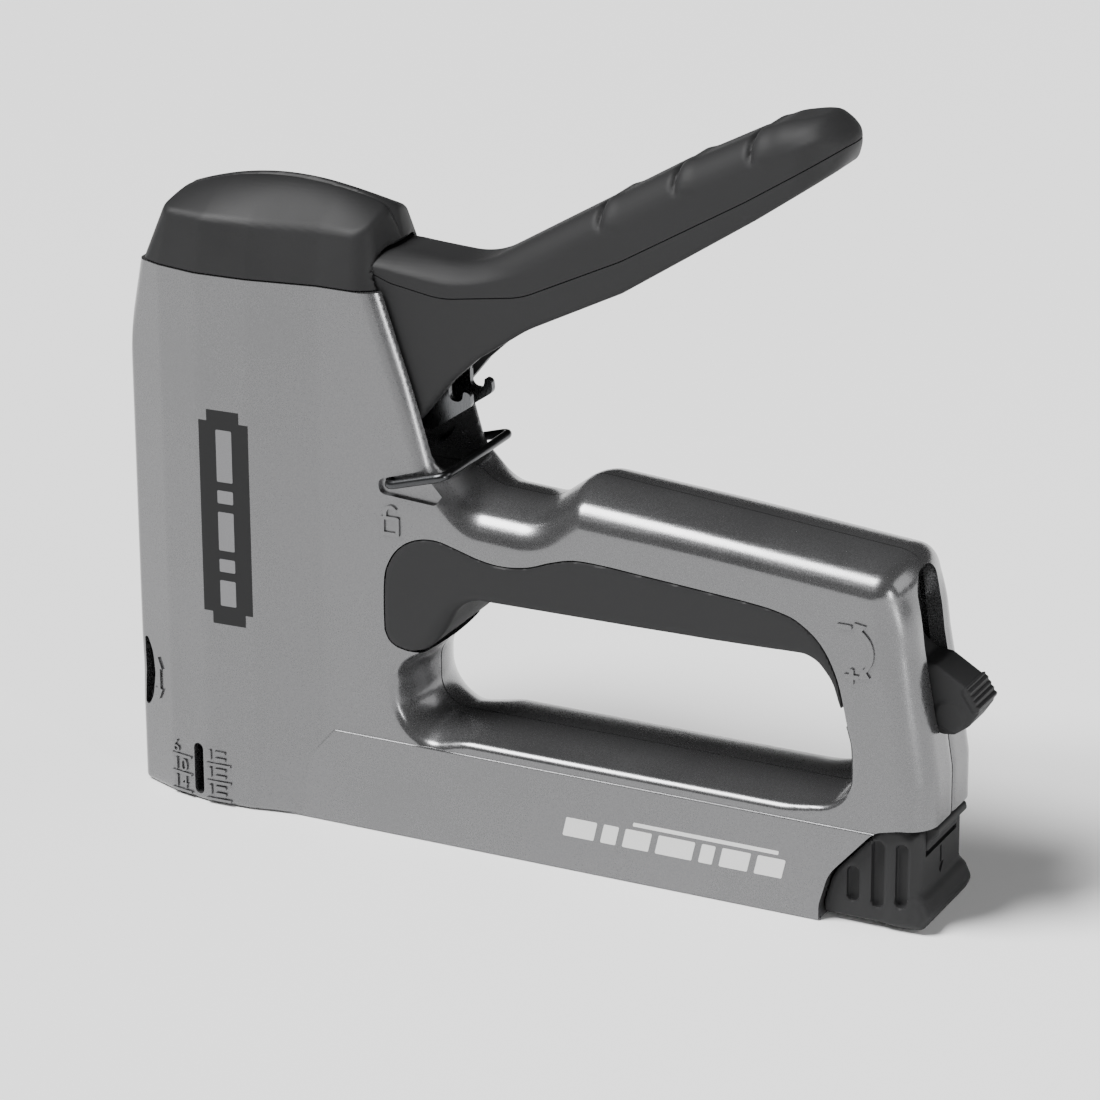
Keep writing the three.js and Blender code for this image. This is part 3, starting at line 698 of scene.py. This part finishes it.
LEVER = Outline([
    (POWER[0] + 2.6, POWER[1] - 4.6, 1), (187, 46.6, 1), (191, 43, 2), (194.2, 43.4, 1.2),
    (197.2, 45.6, 1), (199.2, 48.6, 0.7), (199.6, 50.2, 0.7), (196.7, 54.4, 0.7), (190, 58.4, 1.5),
    (186.4, 58.6, 1.5), (POWER[0], POWER[1] + 4.6, 1),
])
LEVER_TIP = Outline([(195.6, 53.4, 0.4), (198.7, 48.8, 0.4), (200, 49.8, 0.5), (196.8, 54.8, 0.5)])
LEVER_ARM = Outline([
    (POWER[0] - 2.2, POWER[1], 0.3), (POWER[0] + 2.2, POWER[1], 0.3),
    (POWER[0] + 1.6, POWER[1] + 9.5, 0.6), (POWER[0] - 1.6, POWER[1] + 9.5, 0.6),
])


def power_lever(plastic):
    body = skin("power_lever_tab", lever_tab, (172, -6.2, 41), (201.5, 6.2, 72.5), 0.4)
    return finished(body, "power_lever", plastic, ["power_lever"])


END = Outline([
    (169, 1.2, 0.6), (184, 1.2, 4), (190, 0.6, 2), (190, 22.6, 1), (186.5, 23.4, 4), (180.8, 22, 6),
    (170.8, 10.7, 10), (168.7, 3.2, 6),
])
FOOT = Outline([(182, 1.2, 1), (187, 0.5, 2), (191, 0.6, 1.8), (192.7, 4, 2), (190.6, 8.4, 2), (184, 6.5, 2)])
# Each groove is upright at x and runs from a low to a high z.
GRIP_SLOTS = [(175.3, 6.4, 11.6), (180.9, 5.9, 18.4), (186.3, 6.9, 18.6)]
ARROW = [(-0.45, 15.6), (0.45, 15.6), (0.45, 11.6), (1.7, 11.6), (0, 9.2), (-1.7, 11.6), (-0.45, 11.6)]


def end_body(x, y, z):
    wide = np.abs(y)
    edge = 0.6 + 2.2 * ease(184, 189, x)
    body = meet(END(x, z), wide - 12.7, edge)
    body = join(body, meet(FOOT(x, z), wide - 12.9, 2.0), 1.2)
    for at, low, high in GRIP_SLOTS:
        slot = np.hypot(x - at, z - np.clip(z, low, high)) - 1.4
        body = cut(body, meet(slot, 11.3 - wide, 0.5), 0.3)
    return body


def end_cap(plastic):
    body = skin("end_cap_shell", end_body, (167, -14.2, -0.6), (194, 14.2, 25), 0.5)
    plug = block("plug", (160, -6.9, 3), (176, 6.9, 17))
    combine(plug, [block("in", (150, -5.2, -1), (168.5, 5.2, 14.5))])
    combine(body, [plug], "UNION")
    combine(body, [
        block("rail room", (150, -5.1, 2.7), (181.4, 5.1, 14.3)),
        block("latch room", (181.6, -8.5, 16.2), (200, 8.5, 40)),
        pin_hole(LATCH, LATCH_PIN + PIN_ROOM, -10.6, 10.6),
        prism("arrow", ARROW, 189.6, 200, "x"),
    ])
    return finished(body, "magazine", plastic, ["end_cap"])


def latch_body(x, y, z):
    return meet(TONGUE(x, z), np.abs(y) - 8.2, 0.5)


TONGUE = Outline([
    (182, 17.8, 1.4), (188, 18.2, 0.5), (188.6, 17.3, 0.4), (190.2, 17.3, 0.5), (190.6, 19.6, 2),
    (192.6, 21.4, 0.9), (192.4, 23.1, 0.9), (189, 23.3, 1), (186.4, 22.8, 1), (182, 21.2, 1.4),
])


def latch(plastic):
    body = skin("latch_tongue", latch_body, (180.5, -9.3, 16.5), (194, 9.3, 24.6), 0.4)
    combine(body, [pin_hole(LATCH, LATCH_PIN + PIN_ROOM, -20, 20)])
    return finished(body, "latch", plastic, ["magazine_latch"])


def nose_ribs(plastic):
    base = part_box("nose_slide")[0].z / MM
    ribs, pitch = 6, 2.2
    plate = block("slide_plate", (1.8, -8.1, base), (2.6, 8.1, base + 12.4))
    parts = [block("cheek", (1.8, s * 7.75 - 0.35, base - 1.6), (4.7, s * 7.75 + 0.35, base + 14.5))
             for s in (-1, 1)]
    for i in range(ribs):
        low_edge = base + 0.3 + pitch * i
        front = [(1.3, low_edge), (2.3, low_edge - 0.2), (2.3, low_edge + 1.2), (1.3, low_edge + 0.8)]
        parts.append(prism("rib", front, -7.9, 7.9))
        for low_y, high_y in ((-9.1, -7.9), (7.9, 9.1)):
            parts.append(block("side_rib", (1.9, low_y, low_edge - 0.1), (4.5, high_y, low_edge + 1.2)))
    body = joined("nose_slide_ribs", [plate] + parts)
    bevel(body, 0.15, 2)
    return finished(body, "nose_slide", plastic, ["nose_slide"])


# ---- springs, screws and the inner pieces ----

def coil(name, centre, radius, wire, length, turns, axis, sides=12, per_turn=28):
    """A compression spring with one closed turn at each end, along its axis from centre."""
    steps = int(turns * per_turn)
    dead = 1.0
    pitch = (length - 4 * wire) / (turns - 2 * dead)
    path = []
    for i in range(steps + 1):
        turn = turns * i / steps
        rise = wire + wire * min(turn, dead) + pitch * max(0, min(turn, turns - dead) - dead)
        rise += wire * max(0, turn - (turns - dead))
        angle = 2 * math.pi * turn
        a, b = radius * math.cos(angle), radius * math.sin(angle)
        spot = {"z": (a, b, rise), "x": (rise, a, b), "y": (a, rise, b)}[axis]
        path.append(np.array(centre) + np.array(spot))
    return sweep(name, path, wire, sides)


def node_span(name):
    """Where a CAD node starts and ends along x, y and z."""
    low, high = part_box(name)
    return [((a - start) / MM, (b - start) / MM) for a, b, start in zip(low, high, (NOSE, 0, 0))]


def springs(steel):
    (x0, x1), _, (z0, z1) = node_span("power_spring")
    body = coil("power_spring_wire", ((x0 + x1) / 2, 0, z0), 8.1, 1.25, z1 - z0, 10, "z")
    finished(body, "housing", steel, ["power_spring"], 60)
    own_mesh(body)
    (x0, x1), _, (z0, z1) = node_span("follower_spring")
    body = coil("follower_spring_wire", (x0, 0, (z0 + z1) / 2), 2.45, 0.4, x1 - x0, 34, "x", 8, 16)
    finished(body, "magazine", steel, ["follower_spring"], 60)
    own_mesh(body)
    _, (y0, y1), _ = node_span("handle_return_spring")
    body = coil("return_spring_wire", (HINGE[0], y0, HINGE[1]), 4.0, 0.55, y1 - y0, 5.5, "y")
    finished(body, "housing", steel, ["handle_return_spring"], 60)


def star(radius, depth, points=6):
    """A six-lobed socket outline."""
    flat = []
    for i in range(points * 8):
        angle = 2 * math.pi * i / (points * 8)
        size = radius - depth * (0.5 - 0.5 * math.cos(points * angle))
        flat.append((size * math.cos(angle), size * math.sin(angle)))
    return flat


def screws(steel):
    top = HALF - 0.4
    profile = [
        (-9, 0.9), (-8.2, 1.5), (top - 2.0, 1.5), (top - 1.9, 2.5), (top - 1.6, 2.8), (top - 0.7, 2.8),
        (top - 0.25, 2.45), (top - 0.05, 1.8), (top, 1.0),
    ]
    for number, (x, z) in enumerate(SCREWS, 1):
        body = lathe(f"screw_{number}", profile, (x, 0, z))
        socket = [(x + a, z + b) for a, b in star(1.45, 0.4)]
        combine(body, [prism("socket", socket, top - 1.3, top + 2)])
        finished(body, "housing", steel, [f"housing_screw_{number}"])


def refine(node, name, body, material, width=0.25):
    """A CAD solid with its edges broken."""
    obj = twin(frame["nodes"][node], name)
    obj.parent = None
    for key in list(obj.keys()):
        del obj[key]
    weld = obj.modifiers.new("weld", "WELD")
    weld.merge_threshold = 0.00001
    flat = obj.modifiers.new("flat", "DECIMATE")
    flat.decimate_type = "DISSOLVE"
    flat.angle_limit = math.radians(2)
    freeze(obj)
    bevel(obj, width, 2, 40)
    return finished(obj, body, material, [node])


def pin(node, name, at, radius, end, body, material, edge=0.3):
    """A round cross pin with broken edges, equally long on both sides."""
    profile = [(-end, radius - edge), (-end + edge, radius), (end - edge, radius), (end, radius - edge)]
    return finished(lathe(name, profile, (at[0], 0, at[1])), body, material, [node])


def inner_pieces(dark, bright, rubber):
    """The pins, the roller, the turned pieces and the formed ones, most of them out of sight."""
    for node, name, at, radius, end, body in (
        ("handle_hinge_pin", "hinge_pin_turned", HINGE, HINGE_PIN, 12.8, "housing"),
        ("power_lever_pin", "lever_pin_turned", POWER, POWER_PIN, 9.2, "housing"),
        ("latch_pin", "latch_pin_turned", LATCH, LATCH_PIN, 10.2, "magazine"),
        ("roller_pin", "roller_pin_turned", ROLLER, ROLLER_PIN, 6.6, "handle"),
    ):
        pin(node, name, at, radius, end, body, bright)
    ring_profile = [(-3.7, 2.6), (-3.2, 3.1), (3.2, 3.1), (3.7, 2.6)]
    ring = lathe("roller_turned", ring_profile, (ROLLER[0], 0, ROLLER[1]))
    combine(ring, [pin_hole(ROLLER, ROLLER_PIN + PIN_ROOM, -9, 9)])
    finished(ring, "handle", bright, ["lift_roller"])
    (x0, x1), _, (z0, z1) = node_span("spring_rod")
    rod = [(x0, 0.7), (x0 + 0.5, 1.1), (x1 - 0.5, 1.1), (x1, 0.7)]
    finished(lathe("spring_rod_turned", rod, (0, 0, (z0 + z1) / 2), "x"), "magazine", bright,
             ["spring_rod"])
    (x0, x1), _, (z0, z1) = node_span("spring_seat")
    seat = [(z0, 4.8), (z0 + 0.6, 5.4), (z1 - 2.6, 5.4), (z1 - 2.6, 9.7), (z1 - 2.2, 10), (z1 - 0.4, 10),
            (z1, 9.6)]
    finished(lathe("spring_seat_turned", seat, ((x0 + x1) / 2, 0, 0), "z"), "housing", dark,
             ["spring_seat"])
    for node, body, slot, material in (
        ("blade_guide", "housing", "bright_steel", bright),
        ("magazine_guide", "housing", "bright_steel", bright),
        ("bumper_pad", "housing", "buffer_rubber", rubber),
        ("striker_block", "striker", "dark_steel", dark),
        ("driver_blade", "striker", "bright_steel", bright),
        ("power_link", "power_link", "bright_steel", bright),
        ("feed_rail", "magazine", "bright_steel", bright),
        ("staple_follower", "follower", "dark_steel", dark),
    ):
        refine(node, node + "_formed", body, material)


# ---- marks on the left housing ----

def side_of(x, z):
    """Where the left outside is at (x, z)."""
    near, far = np.full(len(x), -19.5), np.full(len(x), -10.0)
    for _ in range(24):
        middle = (near + far) / 2
        hit = shell(x, middle, z) < 0
        near, far = np.where(hit, near, middle), np.where(hit, middle, far)
    (foot_x, foot_z), (front_x, top_z), (rear_x, _), _ = PAD
    front = foot_x + (z - foot_z) * (front_x - foot_x) / (top_z - foot_z)
    on_pad = (x > front) & (x < rear_x) & (z < top_z)
    return np.where(on_pad, np.minimum(far, -HALF - PAD_RISE), far)


def mark(name, outlines, rise, material, step=1.0):
    """A thin layer on the left outside, from outlines in (x, z), raised by rise."""
    points, faces = [], []
    for layer, outline in enumerate(outlines):
        rim = outline.points(0.4) if isinstance(outline, Outline) else np.asarray(outline, float)
        shape = outline if isinstance(outline, Outline) else Outline([tuple(p) for p in rim])
        low, high = rim.min(0), rim.max(0)
        u, v = np.meshgrid(np.arange(low[0], high[0], step), np.arange(low[1], high[1], step))
        grid = np.stack([u.ravel(), v.ravel()], 1)
        grid = grid[shape(grid[:, 0], grid[:, 1]) < -0.4 * step]
        ring = [(i, (i + 1) % len(rim)) for i in range(len(rim))]
        spots = [Vector(p) for p in np.concatenate([rim, grid])]
        flat, _, cells, *_ = delaunay_2d_cdt(spots, ring, [], 1, 1e-6)
        add_layer(points, faces, np.array([tuple(p) for p in flat]), [tuple(c) for c in cells],
                  rise + 0.006 * layer)
    obj = make(name, points, faces)
    face_outwards(obj)
    if rise > 0.15:
        bevel(obj, 0.24, 2, 50)
    return finished(obj, "housing", material)


def add_layer(points, faces, flat, cells, rise):
    """A closed layer over flat cells in (x, z)."""
    ground = side_of(flat[:, 0], flat[:, 1])
    first, count = len(points), len(flat)
    points += list(np.stack([flat[:, 0], ground - rise, flat[:, 1]], 1))
    points += list(np.stack([flat[:, 0], ground + 0.15, flat[:, 1]], 1))
    used = {(a, b) for c in cells for a, b in zip(c, c[1:] + c[:1])}
    faces += [tuple(first + i for i in c) for c in cells]
    faces += [tuple(first + count + i for i in c[::-1]) for c in cells]
    faces += [(first + b, first + a, first + count + a, first + count + b)
              for a, b in used if (b, a) not in used]


def stroke(path, width):
    """The outline of a line of the given width along a path."""
    path = np.asarray(path, float)
    way = np.gradient(path, axis=0)
    way /= np.linalg.norm(way, axis=1)[:, None]
    side = np.stack([-way[:, 1], way[:, 0]], 1) * width / 2
    return np.concatenate([path + side, (path - side)[::-1]])


def numeral(name, text, at, size, rise, material):
    """Raised figures with their lower left corner at (x, z)."""
    figures = bpy.data.curves.new(name, "FONT")
    figures.body = text
    figures.size = size
    figures.extrude = 1
    figures.resolution_u = 4
    shape = bpy.data.objects.new(name, figures)
    mesh = bpy.data.meshes.new_from_object(shape)
    bpy.data.objects.remove(shape)
    local = np.array([tuple(v.co) for v in mesh.vertices])
    x, z = at[0] + local[:, 0], at[1] + local[:, 1]
    y = side_of(x, z) + np.where(local[:, 2] > 0, -rise, 0.15)
    obj = make(name, np.stack([x, y, z], 1), [tuple(p.vertices) for p in mesh.polygons])
    return finished(obj, "housing", material)


def arrow_head(tip, way, length, width):
    """A pointed head: tip and the way it points."""
    tip, way = np.array(tip, float), np.array(way, float) / np.hypot(*way)
    side = np.array([-way[1], way[0]]) * width / 2
    return [tuple(tip), tuple(tip - way * length + side), tuple(tip - way * length - side)]


def bar(x, z, width, height, lean=0.0, radius=0.3):
    """A slanted bar from its lower left corner."""
    return Outline([(x, z, radius), (x + width, z, radius), (x + width + lean, z + height, radius),
                    (x + lean, z + height, radius)])


def marks(label, ink, grey_ink, paint):
    """The label and the print, then the raised marks."""
    plate = Outline([
        (22, 46.4), (24.2, 46.4), (24.2, 43.6), (32.2, 43.6), (32.2, 46.4), (34, 46.4),
        (34, 90.8), (31.8, 90.8), (31.8, 93.4), (24, 93.4), (24, 90.8), (22, 90.8),
    ])
    mark("side_label", [plate], 0.05, label)
    heights = [(48, 6), (56, 3), (61, 9), (72, 3), (77, 12)]
    mark("label_bars", [bar(26.2, low, 3.8, height) for low, height in heights], 0.08, grey_ink)
    blocks = [
        (108.2, 7.4), (117.2, 3.6), (122.4, 6.2), (130.2, 8.6), (140.4, 3.2), (145.2, 6.6), (153.4, 6.4),
    ]
    mark("base_blocks", [bar(x, 7.9, width, 4.4, 1.0) for x, width in blocks], PRINTED, ink)
    mark("base_line", [bar(125, 13.2, 34, 0.9, 0.2, 0.2)], PRINTED, ink)
    mark("turn_arrow", turn_arrow(), EMBOSSED, paint, 0.8)
    up_down = [
        bar(7.2, 23.4, 1.0, 5.6), arrow_head((7.7, 31.2), (0, 1), 2.6, 2.4),
        arrow_head((7.7, 21.2), (0, -1), 2.6, 2.4),
    ]
    mark("slide_arrow", up_down, EMBOSSED, paint, 0.8)
    mark("lock_picture", open_lock(), EMBOSSED, paint, 0.8)
    lines = []
    for text, z in (("6", 10.1), ("10", 5.9), ("14", 1.7)):
        numeral(f"leg_length_{text}", text, (11.6, z), 4.2, LETTERING, paint)
        lines += [bar(11.3, z - 0.95, 5.6, 0.6, 0, 0.1), bar(21.2, z - 0.95, 6.2, 0.6, 0, 0.1)]
        lines += [bar(21.8, z + 0.3, 0.8, 2.5), bar(23.4, z + 0.3, 2.8, 0.8), bar(23.4, z + 1.9, 2.8, 0.8)]
    mark("leg_lines", lines, LETTERING, paint, 0.8)


def turn_arrow():
    """An arc with a head at each end, a minus at the upper one and a plus at the lower one."""
    arc = [(172.6 + 6.9 * math.cos(t), 62.3 + 6.0 * math.sin(t)) for t in np.linspace(-0.75, 0.95, 15)]
    heads = [arrow_head((175.4, 68.9), (-1, 0.75), 2.4, 2.6), arrow_head((176.5, 56.6), (-1, -0.8), 2.4, 2.6)]
    minus = [bar(171.5, 67.2, 3.4, 1.0)]
    plus = [bar(173.2, 56.3, 3.6, 1.0), bar(174.5, 55.0, 1.0, 3.6)]
    return [stroke(arc, 0.9)] + heads + minus + plus


def open_lock():
    """A square lock body and its open shackle."""
    side, thick = 4.4, 0.8
    body = [
        bar(65, 70.2, side, thick), bar(65, 73.8, side, thick), bar(65, 70.2, thick, side),
        bar(68.6, 70.2, thick, side),
    ]
    bend = np.linspace(0.0, 2.6, 12)[1:]
    shackle = [(66.0 + 1.35 * (1 - math.cos(t)), 75.3 + 1.5 * math.sin(t)) for t in bend]
    return body + [stroke([(66.0, 74.3), (66.0, 74.8)] + shackle, thick)]


# ---- materials ----

def material(name, color, metallic, roughness, grain, bump, blotch=0.0, streak=(1, 1, 1), coat=0.0, flake=0.0,
             shine=0.5):
    """A finish with fine grain, slight unevenness and wear marks, all from noise."""
    result = bpy.data.materials.new(name)
    result.use_nodes = True
    nodes, links = result.node_tree.nodes, result.node_tree.links
    shader = nodes["Principled BSDF"]
    shader.inputs["Metallic"].default_value = metallic
    shader.inputs["Coat Weight"].default_value = coat
    shader.inputs["Specular IOR Level"].default_value = shine
    shader.inputs["Coat Roughness"].default_value = 0.12
    where = nodes.new("ShaderNodeTexCoord")
    stretch = nodes.new("ShaderNodeMapping")
    stretch.inputs["Scale"].default_value = streak
    links.new(where.outputs["Object"], stretch.inputs["Vector"])

    def noise(scale, detail, rough=0.55):
        node = nodes.new("ShaderNodeTexNoise")
        node.inputs["Scale"].default_value = scale
        node.inputs["Detail"].default_value = detail
        node.inputs["Roughness"].default_value = rough
        links.new(stretch.outputs["Vector"], node.inputs["Vector"])
        return node.outputs["Fac"]

    def spread(source, low, high, start=0.35, end=0.65):
        node = nodes.new("ShaderNodeMapRange")
        for key, value in (("From Min", start), ("From Max", end), ("To Min", low), ("To Max", high)):
            node.inputs[key].default_value = value
        links.new(source, node.inputs["Value"])
        return node.outputs["Result"]

    fine = noise(grain, 3)
    wide = noise(38, 4)
    tint = nodes.new("ShaderNodeMix")
    tint.data_type = "RGBA"
    tint.blend_type = "MULTIPLY"
    tint.inputs[0].default_value = 1
    tint.inputs[6].default_value = (*color, 1)
    shade = nodes.new("ShaderNodeMath")
    shade.operation = "MULTIPLY"
    links.new(spread(fine, 1 - flake, 1 + flake), shade.inputs[0])
    links.new(spread(wide, 1 - blotch, 1 + blotch), shade.inputs[1])
    grey = nodes.new("ShaderNodeCombineColor")
    for channel in grey.inputs:
        links.new(shade.outputs[0], channel)
    links.new(grey.outputs[0], tint.inputs[7])
    links.new(tint.outputs[2], shader.inputs["Base Color"])
    rough = nodes.new("ShaderNodeMath")
    rough.operation = "ADD"
    links.new(spread(wide, roughness - 0.03, roughness + 0.04), rough.inputs[0])
    links.new(spread(fine, -0.03, 0.03), rough.inputs[1])
    links.new(rough.outputs[0], shader.inputs["Roughness"])
    relief = nodes.new("ShaderNodeBump")
    relief.inputs["Strength"].default_value = bump
    relief.inputs["Distance"].default_value = 0.00005
    links.new(fine, relief.inputs["Height"])
    links.new(relief.outputs["Normal"], shader.inputs["Normal"])
    return result


paint = material("painted_casting", (0.135, 0.135, 0.138), 0.78, 0.27, 3200, 0.16, 0.03, coat=0.35, flake=0.1)
plastic = material("satin_plastic", (0.015, 0.015, 0.0155), 0, 0.55, 5200, 0.4, 0.06, flake=0.08, shine=0.22)
soft = material("soft_plastic", (0.0145, 0.0145, 0.015), 0, 0.6, 6200, 0.6, 0.06, flake=0.1, shine=0.24)
dark = material("dark_steel", (0.11, 0.112, 0.116), 1, 0.3, 2600, 0.3, 0.1, (1, 1, 0.15), flake=0.1)
wire = material("blackened_wire", (0.05, 0.051, 0.053), 1, 0.3, 2600, 0.3, 0.1, flake=0.1)
bright = material("bright_steel", (0.52, 0.52, 0.53), 1, 0.27, 2400, 0.25, 0.06, (0.08, 1, 1), flake=0.08)
spring = material("spring_wire", (0.3, 0.3, 0.31), 1, 0.26, 2400, 0.2, 0.08, flake=0.08)
rubber = material("buffer_rubber", (0.018, 0.018, 0.018), 0, 0.75, 3000, 0.8, 0.1, flake=0.1)
label = material("label_print", (0.012, 0.012, 0.0125), 0, 0.6, 4200, 0.2, 0.03, flake=0.05, shine=0.2)
ink = material("light_print", (0.6, 0.6, 0.595), 0, 0.5, 4200, 0.2, 0.02, flake=0.03)
grey_ink = material("grey_print", (0.16, 0.16, 0.165), 0.4, 0.4, 4200, 0.2, 0.03, flake=0.08)

# ---- the pieces ----

housings(paint)
top_cap(plastic)
grip_insert(soft)
handle_pieces(plastic, soft)
hook_frame(dark)
bail(wire)
power_lever(plastic)
end_cap(plastic)
latch(plastic)
nose_ribs(plastic)
springs(spring)
screws(dark)
inner_pieces(dark, bright, rubber)
marks(label, ink, grey_ink, paint)

# ---- floor, light and camera ----

def floor():
    finish = bpy.data.materials.new("studio_floor")
    finish.use_nodes = True
    nodes, links = finish.node_tree.nodes, finish.node_tree.links
    shader = nodes["Principled BSDF"]
    shader.inputs["Roughness"].default_value = 0.7
    where = nodes.new("ShaderNodeTexCoord")
    cloud = nodes.new("ShaderNodeTexNoise")
    cloud.inputs["Scale"].default_value = 3
    ramp = nodes.new("ShaderNodeMapRange")
    ramp.inputs["To Min"].default_value = 0.90
    ramp.inputs["To Max"].default_value = 0.94
    grey = nodes.new("ShaderNodeCombineColor")
    links.new(where.outputs["Object"], cloud.inputs["Vector"])
    links.new(cloud.outputs["Fac"], ramp.inputs["Value"])
    for channel in grey.inputs:
        links.new(ramp.outputs["Result"], channel)
    links.new(grey.outputs[0], shader.inputs["Base Color"])
    mesh = bpy.data.meshes.new("studio_floor")
    size = 12
    corners = [(-size, -size, 0), (size, -size, 0), (size, size, 0), (-size, size, 0)]
    mesh.from_pydata(corners, [], [(0, 1, 2, 3)])
    obj = bpy.data.objects.new("studio_floor", mesh)
    obj.location.z = -0.0002
    mesh.materials.append(finish)
    bpy.context.scene.collection.objects.link(obj)


def daylight(name, toward, spread, strength):
    """A far, wide, soft light."""
    lamp = bpy.data.lights.new(name, "SUN")
    lamp.angle = math.radians(spread)
    lamp.energy = strength
    obj = bpy.data.objects.new(name, lamp)
    obj.rotation_euler = (-Vector(toward)).to_track_quat("-Z", "Y").to_euler()
    bpy.context.scene.collection.objects.link(obj)


def softbox(name, place, target, size, power):
    lamp = bpy.data.lights.new(name, "AREA")
    lamp.shape = "RECTANGLE"
    lamp.size, lamp.size_y = size
    lamp.energy = power
    obj = bpy.data.objects.new(name, lamp)
    obj.location = place
    obj.rotation_euler = (Vector(target) - Vector(place)).to_track_quat("-Z", "Y").to_euler()
    bpy.context.scene.collection.objects.link(obj)


def camera():
    lens = bpy.data.cameras.new("photo_camera")
    lens.sensor_width = 36
    lens.lens = 163.64
    lens.shift_y = -10 / 1100
    back = Vector((0.41628, -0.83493, 0.36000)).normalized()
    right = Vector((0, 0, 1)).cross(back).normalized()
    up = back.cross(right)
    roll = math.radians(-0.35)
    across = right * math.cos(roll) + up * math.sin(roll)
    above = up * math.cos(roll) - right * math.sin(roll)
    obj = bpy.data.objects.new("photo_camera", lens)
    turn = Matrix((across, above, back)).transposed().to_4x4()
    obj.matrix_world = Matrix.Translation((0.4452, -0.8964, 0.4558)) @ turn
    bpy.context.scene.collection.objects.link(obj)
    bpy.context.scene.camera = obj


floor()
daylight("overhead_light", (-0.416, -0.36, 0.835), 27, 7.5)
softbox("rear_fill", (1.4, 0.5, 0.8), (0.05, 0, 0.08), (0.9, 0.9), 7)
softbox("right_strip", (1.1, -0.62, 0.28), (0, 0, 0.1), (0.16, 0.5), 7)
world = bpy.data.worlds.new("studio")
bpy.context.scene.world = world
world.use_nodes = True
world.node_tree.nodes["Background"].inputs["Color"].default_value = (0.9, 0.9, 0.9, 1)
world.node_tree.nodes["Background"].inputs["Strength"].default_value = 0.04
camera()
